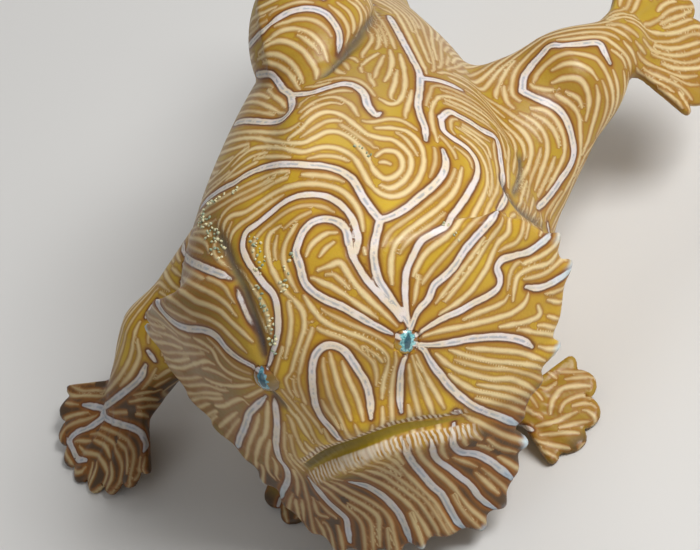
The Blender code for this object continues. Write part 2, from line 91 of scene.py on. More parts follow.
# Trunk from snout to tail root: place along y, half width, back height, belly height, and how
# far its middle is drawn to the fish's left.
TRUNK_STATIONS = (
    (-3.0, 11.0, 38.0, 14.0, 0.0),
    (4.0, 18.0, 43.5, 6.0, 0.0),
    (12.0, 21.0, 46.0, 2.2, 0.4),
    (22.0, 20.8, 46.6, 0.2, 1.4),
    (32.0, 19.2, 45.6, -0.6, 2.0),
    (42.0, 16.6, 43.0, 0.4, 1.8),
    (52.0, 13.2, 39.2, 4.0, 1.2),
    (60.0, 9.6, 35.0, 9.0, 0.6),
    (67.0, 6.4, 31.5, 13.5, 0.0),
    (74.0, 4.4, 29.5, 16.5, 0.0),
)

# Face: a leaning, domed disc with a fleshy rim.
FACE_FRONT = np.array((0.0, -5.0, 30.5))
FACE_LEAN = math.radians(10.0)
FACE_CENTRE_UP = -6.0
FACE_RIM = (
    (0, 21.0), (31, 22.8), (43, 21.6), (51, 20.0), (62, 20.8), (80, 23.6), (94, 26.6),
    (107, 27.6), (119, 27.0), (135, 24.0), (158, 21.0), (180, 20.0),
)
RIGHT_CHEEK = (48.0, 17.0, 1.8)
RIM_THICKNESS = 1.3
FRINGE_TIPS = 38
FRINGE_REACH = 1.5

# Eyes and mouth, in the face's own across and up.
EYE_PLACES = {1: (8.9, 2.4), -1: (-6.9, 3.2)}
EYE_RADIUS = 2.1
STAR_PIXELS = {1: (408, 341), -1: (264.6, 377.7)}
STAR_HALF_WIDTHS = {1: 0.95, -1: 0.66}
STAR_HALF_HEIGHT = 1.5
SLIT_HALF_WIDTH = 0.42
SLIT_HALF_HEIGHT = 1.0
# The least painted shade on each eyeball: the right one is painted as if in shade.
EYEBALL_PAINTED_SHADE = {1: 0.0, -1: 0.75}
EYE_BULGE = 1.25
LID_GAP = -0.2
MOUTH_UP = -10.6
MOUTH_MIDDLE = 1.22
MOUTH_ARCH = 2.28
MOUTH_DROOP = 0.0363
MOUTH_HALF_WIDTH = 10.8
MOUTH_DEPTH = 0.55

# Arms: shoulder, elbow and wrist with their radii; the hand's tip and the way its web spreads.
RIGHT_ARM = ((-14.0, 33.5, 20.0, 12.0), (-33.0, 31.5, 12.5, 5.4), (-40.0, 29.5, 6.0, 3.6))
RIGHT_HAND_TIP = (-52.5, 21.0, 1.2)
RIGHT_ARM_FACE = (-0.30, -0.45, 0.84)
LEFT_ARM = ((14.0, 36.0, 21.5, 13.0), (27.5, 46.0, 22.5, 6.4), (33.8, 51.5, 22.0, 3.4))
LEFT_HAND_TIP = (45.0, 58.0, 15.0)
LEFT_ARM_FACE = (0.30, -0.50, 0.81)
ARM_FLATNESS = 1.5
RIGHT_PALM = (-0.1, -0.1, 1.0)
LEFT_PALM = (0.3, -0.6, 1.0)
HAND_LENGTH = 14.0
HAND_SPREAD = math.radians(56.0)
HAND_RAYS = 9
HAND_BASE = 3.4
HAND_CURL = 0.010
WEB = 0.72
RAY_RISE = 0.16

# Pelvic fins: hip, ankle and toe on the fish's left; the right one mirrors it.
PELVIC_HIP = (8.0, 12.0, 9.0, 4.2)
PELVIC_ANKLE = (13.5, 11.5, 3.6, 2.4)
PELVIC_TOE = (22.0, 9.5, 0.8)
PELVIC_LENGTH = 9.5
PELVIC_SPREAD = math.radians(50.0)
PELVIC_RAYS = 5
PELVIC_BASE = 2.2
PELVIC_SOLE = (0.0, -0.25, 1.0)

# Unpaired fins.
DORSAL_START = 36.0
DORSAL_END = 72.0
DORSAL_HEIGHT = 8.0
DORSAL_RAYS = 16
DORSAL_LEAN = 0.25
DORSAL_LOBE_CENTRE = (0.2, 46.0, 41.5)
DORSAL_LOBE_HALVES = (8.0, 13.5, 7.8)
ANAL_START = 55.0
ANAL_END = 72.0
ANAL_HEIGHT = 8.0
ANAL_RAYS = 9
ANAL_LEAN = 0.12
CAUDAL_ROOT = (0.0, 70.0, 22.5)
CAUDAL_TIP = (0.0, 90.0, 20.0)
CAUDAL_LENGTH = 18.5
CAUDAL_SPREAD = math.radians(52.0)
CAUDAL_RAYS = 9
CAUDAL_CURL = 0.012
CAUDAL_BASE = 4.6

# The two buried spines on the crown, each from front to rear with its radii.
CROWN_SPINES = (
    ((0.8, 6.0, 41.5, 2.0), (1.0, 10.0, 43.4, 1.8)),
    ((1.5, 16.0, 44.0, 3.4), (2.0, 24.0, 45.2, 2.6)),
)

# The camera: where it stands round the eyes, and the picture's frame.
CAMERA_AZIMUTH = math.radians(23.13)
CAMERA_ELEVATION = math.radians(41.27)
CAMERA_ROLL = math.radians(30.97)
CAMERA_DISTANCE = 360.0
EYES_MIDDLE = np.array((0.0, 0.0, 30.5))
EYES_PIXEL = (336.29, 359.32)
PIXELS_PER_MM = 8.613
PICTURE_WIDTH = 700
PICTURE_HEIGHT = 550
SENSOR_WIDTH = 36.0

# White lines of the skin, by the place each one marks, as points of the picture that it runs
# through. The first number is its weight: 1 for the broad lines, less for the finer ones.
FACE_LINES = {
    "crown band": (1.0, (201, 207), (208, 199), (222, 189), (234, 183), (246, 175), (262, 168), (276, 165),
        (290, 164), (306, 165), (322, 166), (338, 170), (350, 177), (357, 186), (364, 199), (372, 210),
        (380, 220)),
    "crown fork, left": (1.0, (380, 220), (392, 216), (406, 208), (420, 197), (433, 186), (443, 174),
        (446, 162), (443, 150)),
    "crown fork, down": (1.0, (380, 220), (377, 232), (374, 246), (374, 262), (378, 278), (386, 292),
        (396, 306), (407, 322), (408, 332)),
    "brow loop": (1.0, (349, 244), (346, 231), (338, 222), (325, 219), (313, 222), (304, 230), (299, 240),
        (296, 252), (300, 266), (304, 282), (313, 292), (326, 300), (342, 307), (356, 315), (372, 324),
        (388, 332), (402, 338)),
    "brow loop, inner leg": (0.66, (349, 244), (353, 257), (360, 270), (369, 283), (380, 295), (391, 307),
        (401, 320)),
    "temple line": (1.0, (410, 330), (418, 311), (428, 300), (434, 286), (443, 278), (455, 266), (465, 250),
        (477, 236), (489, 223), (499, 209), (506, 196), (504, 180), (501, 162), (499, 147), (495, 137),
        (482, 130), (470, 122), (459, 116), (449, 112), (441, 118)),
    "temple hairpin": (0.7, (441, 118), (443, 129), (451, 137), (462, 144), (471, 152), (477, 163),
        (477, 176), (470, 190), (462, 203), (452, 216), (446, 226), (434, 233), (421, 241), (414, 254),
        (407, 270), (405, 288), (406, 306), (408, 322)),
    "left cheek bar": (1.0, (414, 344), (430, 345), (450, 343), (470, 339), (492, 337), (512, 338),
        (525, 342), (532, 347)),
    "left cheek slant": (1.0, (416, 345), (424, 350), (430, 361), (439, 373), (450, 387), (462, 398),
        (473, 406), (486, 412), (500, 417), (516, 424), (532, 430)),
    "under the left eye": (0.9, (407, 352), (402, 366), (400, 384), (400, 400), (401, 412)),
    "left cheek rise": (0.8, (416, 335), (430, 326), (446, 317), (460, 311), (474, 303), (488, 296),
        (498, 288), (500, 278), (497, 268), (502, 260), (514, 256), (528, 252), (540, 244), (549, 235),
        (548, 224)),
    "left cheek second rise": (0.6, (418, 338), (440, 331), (460, 327), (478, 323), (494, 319), (512, 313),
        (524, 304), (528, 294), (526, 288)),
    "left cheek hook": (0.5, (513, 300), (515, 286), (519, 275), (532, 268), (547, 264), (556, 255),
        (559, 246)),
    "left cheek tip": (0.8, (526, 287), (538, 288), (550, 284), (562, 277), (571, 270), (579, 265)),
    "left cheek short": (0.5, (500, 327), (516, 324), (532, 320), (540, 314), (538, 306)),
    "left edge, upper": (0.4, (548, 300), (560, 302), (566, 296)),
    "left edge, lower": (0.4, (548, 316), (560, 319), (570, 316)),
    "nose loop": (1.0, (340, 440), (331, 429), (322, 418), (316, 406), (313, 390), (312, 370), (316, 354),
        (326, 346), (338, 347), (348, 355), (358, 370), (366, 384), (370, 400), (371, 418)),
    "nose loop, first within": (0.3, (330, 353), (334, 370), (339, 388), (345, 404), (351, 420)),
    "nose loop, second within": (0.3, (342, 362), (349, 380), (358, 400), (363, 420)),
    "beside the nose": (0.6, (304, 296), (312, 308), (320, 318), (332, 326), (346, 332), (360, 337),
        (374, 344), (386, 354), (388, 364), (384, 380), (382, 398)),
    "brow arch": (0.7, (355, 252), (358, 242), (357, 232), (352, 218), (343, 207), (332, 199), (320, 195),
        (304, 195), (292, 198), (280, 205), (269, 214), (257, 224), (247, 231), (243, 240), (243, 250),
        (248, 262), (255, 272), (264, 284), (273, 294), (277, 308), (278, 326), (276, 342), (271, 356),
        (268, 368)),
    "brow loop, bent line": (0.6, (318, 270), (329, 266), (340, 263), (348, 274), (358, 288), (370, 300),
        (384, 313), (397, 326)),
    "brow loop, short line": (0.4, (320, 256), (326, 248), (334, 242)),
    "upper brow arch": (0.4, (221, 236), (224, 224), (231, 216), (245, 212), (259, 203), (273, 194),
        (288, 187), (306, 184), (324, 185), (340, 190), (352, 200), (360, 214), (363, 232), (364, 250),
        (370, 264)),
    "lower brow arch": (0.4, (280, 226), (270, 234), (267, 246), (269, 260), (275, 275), (284, 290),
        (295, 301), (303, 313), (304, 328), (300, 342), (295, 358), (291, 372), (286, 380), (290, 392),
        (296, 400)),
    "by the right eye": (0.3, (288, 300), (291, 320), (289, 340), (285, 358)),
    "right cheek bar": (1.0, (185, 237), (183, 247), (187, 258), (198, 265), (212, 271), (230, 278)),
    "right cheek second": (0.5, (163, 258), (165, 272), (172, 284), (184, 293), (196, 301), (210, 306),
        (221, 312), (231, 322), (242, 332), (252, 342)),
    "right cheek slant": (1.0, (155, 296), (161, 309), (172, 321), (186, 328), (204, 330), (216, 336),
        (226, 348), (238, 358), (254, 367), (262, 372)),
    "over the right eye": (0.7, (236, 288), (241, 302), (247, 316), (254, 328), (260, 340), (264, 354)),
    "right cheek third": (0.4, (194, 338), (205, 344), (213, 351), (219, 363), (228, 372), (242, 378),
        (256, 380)),
    "right cheek edge": (0.5, (169, 366), (182, 368), (194, 364), (206, 361), (214, 364)),
    "right of the eye": (0.4, (206, 379), (218, 384), (236, 386), (254, 384)),
    "right cheek low": (0.4, (214, 406), (224, 406), (234, 401), (242, 399), (248, 404)),
    "right cheek lowest": (0.4, (219, 427), (227, 420), (237, 412)),
    "right cheek fine, upper": (0.3, (172, 268), (186, 280), (200, 288), (214, 295), (226, 304), (236, 316)),
    "right cheek fine, lower": (0.3, (160, 292), (176, 302), (190, 312), (206, 318), (220, 326), (232, 338),
        (246, 352)),
    "under the right eye": (1.0, (266, 396), (257, 405), (249, 414), (245, 426), (240, 438), (236, 450),
        (231, 461)),
    "right jowl": (0.8, (274, 398), (276, 412), (277, 428), (276, 444), (279, 458), (286, 468), (288, 479),
        (283, 491), (280, 500), (278, 506)),
    "right jowl, second tip": (0.6, (283, 491), (284, 508), (287, 521)),
    "right eye to mouth": (0.6, (272, 388), (281, 400), (289, 409), (298, 419), (304, 430), (313, 443)),
    "right jowl fine": (0.4, (268, 400), (266, 430), (260, 442), (256, 456), (256, 470), (252, 481)),
    "right jowl finer": (0.35, (270, 440), (267, 456), (268, 470), (275, 479)),
    "left eye fine, first": (0.35, (412, 356), (418, 374), (424, 391), (430, 405), (433, 415)),
    "left eye fine, second": (0.35, (416, 355), (427, 378), (437, 395), (444, 408)),
    "left cheek low, first": (0.6, (436, 354), (446, 363), (458, 370), (474, 375), (492, 379), (510, 379),
        (524, 384), (536, 392), (542, 399)),
    "left cheek low, second": (0.6, (450, 350), (468, 356), (490, 361), (514, 363), (534, 366), (546, 371),
        (556, 378)),
    "left cheek low, third": (0.45, (440, 366), (456, 380), (474, 390), (492, 394), (510, 398), (525, 404)),
    "temple fine, first": (0.4, (518, 213), (510, 218), (508, 232), (498, 243), (492, 255), (487, 267),
        (479, 280), (470, 292), (457, 303), (440, 314)),
    "temple fine, second": (0.3, (500, 218), (491, 228), (483, 240), (475, 252), (466, 264), (457, 276),
        (446, 290), (436, 303)),
    "temple fine, third": (0.45, (462, 168), (458, 184), (450, 197), (436, 210), (420, 222), (404, 234),
        (394, 248), (391, 266), (392, 284)),
    "temple short, first": (0.4, (528, 208), (529, 222), (526, 238)),
    "temple short, second": (0.5, (540, 212), (543, 226), (538, 240)),
}
CHIN_LINES = {
    "chin middle": (1.0, (404, 440), (407, 452), (413, 463), (422, 474), (432, 486), (442, 495), (450, 510),
        (459, 524), (468, 530)),
    "chin left": (1.0, (454, 424), (453, 436), (454, 446), (461, 452), (475, 454), (488, 460), (499, 468),
        (511, 478), (525, 490)),
    "chin left fine": (0.7, (431, 440), (435, 457), (447, 467), (460, 477), (471, 486), (479, 497),
        (487, 504), (497, 510)),
    "chin right": (1.0, (350, 482), (366, 486), (380, 494), (390, 503), (399, 514), (406, 529), (413, 549)),
    "chin far right": (0.8, (309, 478), (318, 490), (328, 502), (339, 512), (346, 519), (348, 530),
        (350, 542)),
    "chin right fine": (0.5, (318, 478), (334, 488), (349, 497), (365, 506), (378, 517), (379, 532),
        (380, 546)),
    "chin middle fine": (0.5, (366, 470), (382, 475), (394, 483), (406, 492), (419, 503), (427, 514),
        (436, 528), (440, 537)),
    "chin left short": (0.4, (476, 473), (488, 484), (498, 493)),
    "lip right short": (0.5, (338, 462), (346, 474)),
    "chin edge, first": (0.35, (302, 500), (304, 520)),
    "chin edge, second": (0.35, (313, 498), (318, 513), (327, 517)),
    "left of the mouth": (0.35, (488, 440), (500, 448), (516, 452)),
    "mouth corner dot": (0.7, (455, 411), (459, 413)),
}
BACK_LINES = {
    "nape junction": (1.0, (245, 88), (248, 79), (258, 75), (270, 74), (277, 81), (283, 89), (290, 95),
        (292, 106), (288, 114), (279, 121), (264, 122), (246, 121), (232, 125), (222, 133), (213, 144)),
    "nape bar": (1.0, (290, 95), (310, 93), (326, 88), (342, 84), (355, 86), (364, 94), (368, 106),
        (376, 115), (380, 113)),
    "nape whorl, second ring": (0.6, (214, 152), (222, 146), (236, 140), (254, 138), (278, 142), (301, 143),
        (314, 138), (326, 132), (338, 132), (350, 138), (360, 147), (368, 158), (374, 170), (383, 178),
        (393, 177), (401, 170), (402, 160), (396, 152), (384, 151), (374, 158)),
    "nape whorl, outer ring": (0.6, (286, 140), (300, 130), (310, 120), (321, 113), (332, 112), (343, 116),
        (355, 125), (367, 134), (380, 138), (393, 140), (404, 148), (411, 158), (410, 171), (402, 182),
        (390, 188), (378, 184)),
    "nape whorl, third ring": (0.45, (232, 166), (242, 156), (256, 148), (280, 148), (302, 152), (318, 148),
        (330, 147), (342, 150), (354, 158), (362, 170), (370, 184), (382, 194), (396, 196), (410, 189),
        (420, 176), (424, 160), (420, 144), (408, 132), (392, 128), (376, 128)),
    "nape whorl, middle": (0.5, (372, 163), (384, 162), (390, 164)),
    "nape fine": (0.35, (300, 112), (316, 101), (334, 97), (350, 104), (358, 116)),
    "fin lobe, first arc": (1.0, (240, 57), (253, 41), (268, 26), (285, 14), (301, 9), (314, 9), (326, 14),
        (334, 23), (339, 33), (340, 44), (339, 54)),
    "fin lobe, second arc": (0.5, (247, 63), (257, 50), (270, 38), (284, 30), (298, 29), (311, 34),
        (321, 44), (326, 55), (328, 61)),
    "fin lobe, third arc": (0.6, (256, 56), (266, 46), (278, 41), (290, 43), (302, 50), (310, 60), (316, 70),
        (316, 78)),
    "fin lobe, fourth arc": (0.4, (254, 62), (266, 55), (278, 55), (290, 62), (298, 72), (303, 83)),
    "fin lobe, edge": (0.4, (348, 0), (358, 8), (362, 20), (360, 32), (355, 41)),
    "fin lobe, edge fine": (0.35, (338, 3), (349, 12), (354, 24), (354, 36)),
    "fin lobe, top": (0.5, (256, 9), (268, 3), (280, -2)),
    "back line": (1.0, (389, 16), (397, 30), (405, 45), (412, 58), (419, 72), (420, 88), (418, 104),
        (421, 117), (425, 128), (426, 140)),
    "back branch": (0.8, (421, 78), (436, 80), (449, 84), (462, 90)),
    "back short": (0.6, (390, 50), (392, 62), (389, 74), (385, 81)),
    "back hook": (0.4, (400, 54), (404, 70), (405, 86), (400, 100), (391, 104), (380, 99)),
    "crease, first": (0.35, (380, 52), (369, 59), (362, 65)),
    "crease, second": (0.35, (348, 56), (357, 61), (362, 72)),
    "back dot": (0.5, (398, 116), (400, 118)),
}
ARM_LINES = {
    "left arm, top": (1.0, (522, 91), (524, 77), (531, 66), (540, 56), (550, 46), (564, 45), (580, 44),
        (598, 43), (605, 53), (610, 63)),
    "left shoulder arc": (1.0, (522, 91), (536, 98), (550, 104), (561, 112), (568, 124), (572, 138),
        (574, 153), (570, 166), (562, 178), (554, 190), (545, 201), (537, 208)),
    "left arm, inner arc": (0.6, (552, 83), (566, 78), (580, 80), (587, 90), (589, 104), (586, 120)),
    "left arm, middle arc": (0.4, (552, 70), (565, 64), (578, 64), (590, 70), (597, 79)),
    "left arm, short arc": (0.3, (566, 92), (578, 99), (583, 110)),
    "left shoulder, second": (0.4, (520, 113), (536, 123), (546, 137), (547, 154), (541, 173), (535, 190)),
    "left shoulder, third": (0.6, (510, 121), (523, 131), (531, 145), (530, 161), (524, 176), (516, 190)),
    "left shoulder, fourth": (0.35, (503, 128), (513, 140), (516, 154), (513, 172)),
    "left shoulder, outer": (0.35, (528, 107), (546, 111), (558, 123), (564, 139), (564, 155), (556, 174),
        (547, 190)),
    "left shoulder fold": (0.5, (508, 191), (514, 201), (518, 213)),
    "left wrist, first": (0.4, (612, 50), (622, 58), (626, 67)),
    "left wrist, second": (0.4, (624, 42), (632, 52), (636, 63)),
    "left wrist, third": (0.4, (636, 42), (645, 53)),
    "right arm line": (1.0, (146, 365), (140, 378), (127, 390), (115, 399), (103, 408)),
    "right arm dot": (1.0, (148, 351), (155, 361)),
    "right wrist bar": (1.0, (83, 405), (92, 406), (103, 409), (104, 416), (116, 423), (130, 427),
        (141, 433), (146, 443), (144, 451)),
    "right hand fork": (0.9, (104, 417), (90, 427), (78, 432), (70, 440), (73, 450), (78, 459), (86, 460)),
    "right hand edge": (0.9, (44, 427), (50, 435), (59, 443)),
    "right arm, pink": (0.5, (130, 402), (144, 399), (158, 400)),
    "right arm, fine": (0.35, (134, 413), (147, 416), (154, 424)),
    "right hand fine": (0.35, (94, 440), (105, 446), (110, 457)),
    "left pelvic arc": (0.5, (550, 413), (553, 400), (562, 389), (576, 386), (590, 386)),
    "left pelvic edge": (0.4, (537, 426), (556, 421), (576, 412)),
}

# Folds of the skin, pressed in and darkened by painted shade, as points of the picture, with how deep and how
# wide each is in millimetres.
CREASES = {
    "right cheek fold": (0.55, 0.9, (206, 214), (214, 230), (224, 248), (233, 268), (243, 290), (251, 312),
        (258, 334), (263, 356), (265, 372)),
    "under the right eye fold": (0.35, 0.5, (266, 384), (272, 393), (280, 402), (288, 412)),
    "left shoulder fold": (0.5, 0.7, (498, 168), (505, 186), (513, 200), (524, 212), (538, 222), (552, 232)),
    "fin lobe fold": (0.5, 0.8, (384, 2), (374, 18), (362, 34), (350, 48), (338, 60), (326, 72), (310, 84)),
    "left arm pit fold": (0.4, 0.8, (520, 150), (522, 170), (518, 188), (510, 198)),
}

# Small pale granules of the skin, as points of the picture that each strip of them runs through,
# with how wide the strip is in millimetres.
GRANULE_STRIPS = {
    "top of the right cheek fold": (1.4, (202, 216), (209, 228), (215, 240), (221, 252)),
    "beside the brow arch": (1.1, (252, 240), (256, 250), (261, 262), (257, 272)),
    "within the brow arch": (0.9, (291, 258), (288, 270), (283, 286)),
    "along the cheek line": (0.9, (256, 286), (261, 296), (266, 308), (268, 320), (271, 334), (273, 352)),
    "crown, right": (0.7, (206, 206), (222, 196), (240, 188)),
    "temple": (0.6, (444, 224), (452, 232), (460, 238)),
    "nape": (0.6, (358, 146), (366, 152), (372, 160)),
}
GRANULE_SPACING = 0.36
GRANULE_LEAST = (0.10, 0.10, 0.10)
GRANULE_GREATEST = (0.30, 0.26, 0.34)
GRANULES_PER_SQUARE_MM = 6.0
GRANULE_SEGMENTS = 7
GRANULE_RINGS = 5
GRANULE_PLACE_SEED = 5
GRANULE_SIZE_SEED = 11


# ---- shape ----


def smooth_min(a, b, radius):
    """The lower of two distances, with the crease between them filled to a radius."""
    blend = np.clip(0.5 + 0.5 * (b - a) / radius, 0.0, 1.0)
    return b + (a - b) * blend - radius * blend * (1.0 - blend)


def smooth_max(a, b, radius):
    return -smooth_min(-a, -b, radius)


def smooth_step(low, high, x):
    t = np.clip((x - low) / (high - low), 0.0, 1.0)
    return t * t * (3.0 - 2.0 * t)


def through(stations, column, at):
    """A smooth curve through one column of the stations, read at the given places."""
    xs = np.array([station[0] for station in stations], float)
    ys = np.array([station[column] for station in stations], float)
    slopes = np.gradient(ys, xs)
    at = np.clip(at, xs[0], xs[-1])
    i = np.clip(np.searchsorted(xs, at) - 1, 0, len(xs) - 2)
    step = xs[i + 1] - xs[i]
    t = (at - xs[i]) / step
    return (
        ys[i] * (1 + 2 * t) * (1 - t) ** 2
        + slopes[i] * step * t * (1 - t) ** 2
        + ys[i + 1] * t * t * (3 - 2 * t)
        + slopes[i + 1] * step * t * t * (t - 1)
    )


def unit(v):
    v = np.array(v, float)
    return v / np.sqrt((v * v).sum(axis=-1, keepdims=True))


def limb(p, start, end, flat=(0.0, 0.0, 1.0), flatness=1.0):
    """Distance to a tapered limb from start to end, each (x, y, z, radius), thinner along flat."""
    a, b = np.array(start[:3]), np.array(end[:3])
    along = b - a
    t = np.clip((p - a) @ along / (along @ along), 0.0, 1.0)
    off = p - a - t[:, None] * along
    across = off @ np.array(flat)
    length = np.sqrt((off * off).sum(axis=1) + (flatness ** 2 - 1.0) * across ** 2)
    return length - (start[3] + t * (end[3] - start[3]))


def frame_of(root, tip, up):
    """A fin's own axes: along its middle ray, across it, and out of its face."""
    along = unit(np.array(tip) - np.array(root[:3]))
    out = unit(np.array(up) - along * (along @ np.array(up)))
    return along, np.cross(out, along), out


def fan_fin(p, root, axes, length, spread, rays, base, curl=0.0):
    """Distance to a fan of rays in a web, with a scalloped edge; base is the half width at its root."""
    off = p - np.array(root[:3])
    along, across, out = (off @ axis for axis in axes)
    out = out + curl * along * np.abs(along)
    behind = base / math.tan(spread)
    reach = np.hypot(along + behind, across)
    turn = np.arctan2(across, along + behind)
    phase = turn / spread * (rays - 1) / 2.0
    scallop = np.abs(np.cos(math.pi * phase))
    edge = behind + length * (1.0 - 0.16 * (turn / spread) ** 2) - 1.3 * (1.0 - scallop ** 0.7)
    outward = np.clip((reach - behind) / length, 0.0, 1.0)
    web = WEB * (1.6 - 0.95 * outward)
    rib = RAY_RISE * np.cos(2.0 * math.pi * phase) * smooth_step(0.05, 0.3, outward)
    side = (np.abs(turn) - spread) * np.minimum(reach, length)
    shell = smooth_max(np.abs(out) - web - rib, reach - edge, 0.6)
    return smooth_max(shell, side, 0.8)


def ridge_fin(across, along, up, height, rays):
    """Distance to a low fin that stands on the body's middle line; along runs from 0 to 1."""
    scallop = np.abs(np.cos(math.pi * along * rays))
    arch = np.clip(4.0 * along * (1.0 - along), 0.0, 1.0) ** 0.45
    edge = height * arch - 0.9 * (1.0 - scallop)
    web = WEB * (1.6 - 0.8 * np.clip(up / height, -0.5, 1.0))
    rib = RAY_RISE * np.cos(2.0 * math.pi * along * rays)
    return smooth_max(np.abs(across) - web - rib, up - edge, 0.6)


def face_axes(p):
    """Across, up and forward of each point in the leaning face's own frame."""
    off = p - FACE_FRONT
    lean_sin, lean_cos = math.sin(FACE_LEAN), math.cos(FACE_LEAN)
    up = off[:, 1] * lean_sin + off[:, 2] * lean_cos
    forward = -off[:, 1] * lean_cos + off[:, 2] * lean_sin
    return off[:, 0], up, forward


def face_point(across, up, forward):
    lean_sin, lean_cos = math.sin(FACE_LEAN), math.cos(FACE_LEAN)
    return FACE_FRONT + np.array((
        across,
        up * lean_sin - forward * lean_cos,
        up * lean_cos + forward * lean_sin,
    ))


def mouth_line(across):
    """Height of the shut mouth, which arches over the snout and droops to both corners."""
    return MOUTH_UP + MOUTH_ARCH - MOUTH_DROOP * np.clip(across - MOUTH_MIDDLE, -13.0, 13.0) ** 2


def face_height(across, up):
    """How far forward the face stands: a dome, drawn back more on its right, with a blunt snout."""
    dome = -0.0205 * across ** 2 - 0.006 * (up + 3.0) ** 2 - 0.022 * np.clip(up - 7.0, 0.0, None) ** 2
    dome -= 0.012 * np.clip(-across - 8.0, 0.0, None) ** 2
    dome += 0.013 * np.clip(-up - 11.0, 0.0, None) ** 2
    snout = 3.2 * np.exp(-((across + 0.5) / 6.5) ** 2 - ((up - 1.0) / 10.0) ** 2)
    over = up - mouth_line(across)
    sideways = ((across - MOUTH_MIDDLE) / MOUTH_HALF_WIDTH) ** 4
    lips = 1.5 * np.exp(-((over - 2.6) / 2.0) ** 2 - sideways)
    lower = 1.9 * np.exp(-((over + 2.6) / 2.2) ** 2 - sideways)
    lids = sum(
        1.3 * np.exp(-((across - eye_across) ** 2 + (up - eye_up) ** 2) / 9.0)
        for eye_across, eye_up in EYE_PLACES.values()
    )
    return dome + snout + lips + lower + lids - 2.6


def mouth_groove(across, up):
    """The shut mouth: an arched furrow, deepest along its lower edge."""
    over = up - mouth_line(across)
    ends = np.exp(-((across - MOUTH_MIDDLE) / (MOUTH_HALF_WIDTH * 0.98)) ** 8)
    trough = MOUTH_DEPTH * np.exp(-(over / 0.85) ** 4)
    slit = 0.35 * np.exp(-((over + 0.75) / 0.25) ** 2)
    return (trough + slit) * ends


def fringe_tips(turn):
    """How far the fringe stands out at an angle from the chin: near 1 at its largest tips."""
    large = 0.55 + 0.45 * np.cos(0.37 * FRINGE_TIPS * turn + 0.8)
    return np.abs(np.cos(0.5 * FRINGE_TIPS * turn)) ** 3 * large


def face_rim(turn):
    """Radius of the face's edge at an angle from the chin, with its fleshy tips."""
    degrees = np.degrees(np.abs(turn))
    keep = 1.0 - smooth_step(112.0, 135.0, degrees)
    place, width, extra = RIGHT_CHEEK
    cheek = extra * np.exp(-((np.degrees(turn) + place) / width) ** 2)
    return through(FACE_RIM, 1, degrees) + cheek + (FRINGE_REACH * fringe_tips(turn) - 0.5) * keep


def face_polar(across, up):
    down = FACE_CENTRE_UP - up
    return np.hypot(across, down), np.arctan2(across, down)


def face_disc(p):
    across, up, forward = face_axes(p)
    reach, turn = face_polar(across, up)
    inside = face_rim(turn) - reach
    depth = RIM_THICKNESS + 0.62 * np.clip(inside, 0.0, 22.0)
    below_crown = smooth_step(150.0, 110.0, np.degrees(np.abs(turn)))
    pleats = 0.16 * np.cos(FRINGE_TIPS * turn) * smooth_step(8.0, 1.0, inside) * below_crown
    front = face_height(across, up) - mouth_groove(across, up) + pleats
    plate = smooth_max(forward - front, front - depth - forward, 1.2)
    return smooth_max(plate * 0.8, -inside, 1.2)


def trunk(p):
    x, y, z = p.T
    x = x - through(TRUNK_STATIONS, 4, y)
    half = through(TRUNK_STATIONS, 1, y)
    back = through(TRUNK_STATIONS, 2, y)
    belly = through(TRUNK_STATIONS, 3, y)
    middle, rise = 0.5 * (back + belly), 0.5 * (back - belly)
    ring = (np.abs(x / half) ** 2.3 + np.abs((z - middle) / rise) ** 2.3) ** (1 / 2.3)
    wall = (ring - 1.0) * np.minimum(half, rise)
    return smooth_max(smooth_max(wall, TRUNK_STATIONS[0][0] - y, 4.0), y - 76.0, 2.0)


def arm(p, joints, face):
    upper = limb(p, joints[0], joints[1], face, ARM_FLATNESS)
    fore = limb(p, joints[1], joints[2])
    return smooth_min(upper, fore, 2.5)


def hand_fan(joints, tip, palm):
    """Root, axes and sizes of a pectoral hand's fan."""
    axes = frame_of(joints[2], tip, palm)
    return joints[2], axes, HAND_LENGTH, HAND_SPREAD, HAND_RAYS, HAND_BASE, HAND_CURL


RIGHT_HAND = hand_fan(RIGHT_ARM, RIGHT_HAND_TIP, RIGHT_PALM)
LEFT_HAND = hand_fan(LEFT_ARM, LEFT_HAND_TIP, LEFT_PALM)
FOOT = (PELVIC_ANKLE, frame_of(PELVIC_ANKLE, PELVIC_TOE, PELVIC_SOLE), PELVIC_LENGTH, PELVIC_SPREAD,
        PELVIC_RAYS, PELVIC_BASE)
CAUDAL = (CAUDAL_ROOT, frame_of(CAUDAL_ROOT, CAUDAL_TIP, (1.0, 0.0, 0.0)), CAUDAL_LENGTH, CAUDAL_SPREAD,
          CAUDAL_RAYS, CAUDAL_BASE, CAUDAL_CURL)


def pelvic(p, side):
    q = p * np.array((side, 1.0, 1.0))
    return smooth_min(limb(q, PELVIC_HIP, PELVIC_ANKLE), fan_fin(q, *FOOT), 1.2)


def dorsal_place(p):
    x, y, z = p.T
    along = (y - DORSAL_START) / (DORSAL_END - DORSAL_START)
    up = z - through(TRUNK_STATIONS, 2, y) + 1.0
    return x + 1.0 + DORSAL_LEAN * up, along, up


def dorsal(p):
    """The fleshy dorsal fin: a thick front lobe folded to the right and a low ridge behind it."""
    lobe_off = (p - np.array(DORSAL_LOBE_CENTRE)) / np.array(DORSAL_LOBE_HALVES)
    lobe = (np.sqrt((lobe_off ** 2).sum(axis=1)) - 1.0) * min(DORSAL_LOBE_HALVES)
    across, along, up = dorsal_place(p)
    ridge = ridge_fin(across, along, up, DORSAL_HEIGHT, DORSAL_RAYS)
    ends = np.maximum(DORSAL_START - p[:, 1], p[:, 1] - DORSAL_END)
    return smooth_min(lobe, smooth_max(smooth_max(ridge, ends, 1.0), -up - 4.0, 1.0), 2.0)


def anal_place(p):
    x, y, z = p.T
    along = (y - ANAL_START) / (ANAL_END - ANAL_START)
    up = through(TRUNK_STATIONS, 3, y) - z + 1.0
    return x - ANAL_LEAN * up, along, up


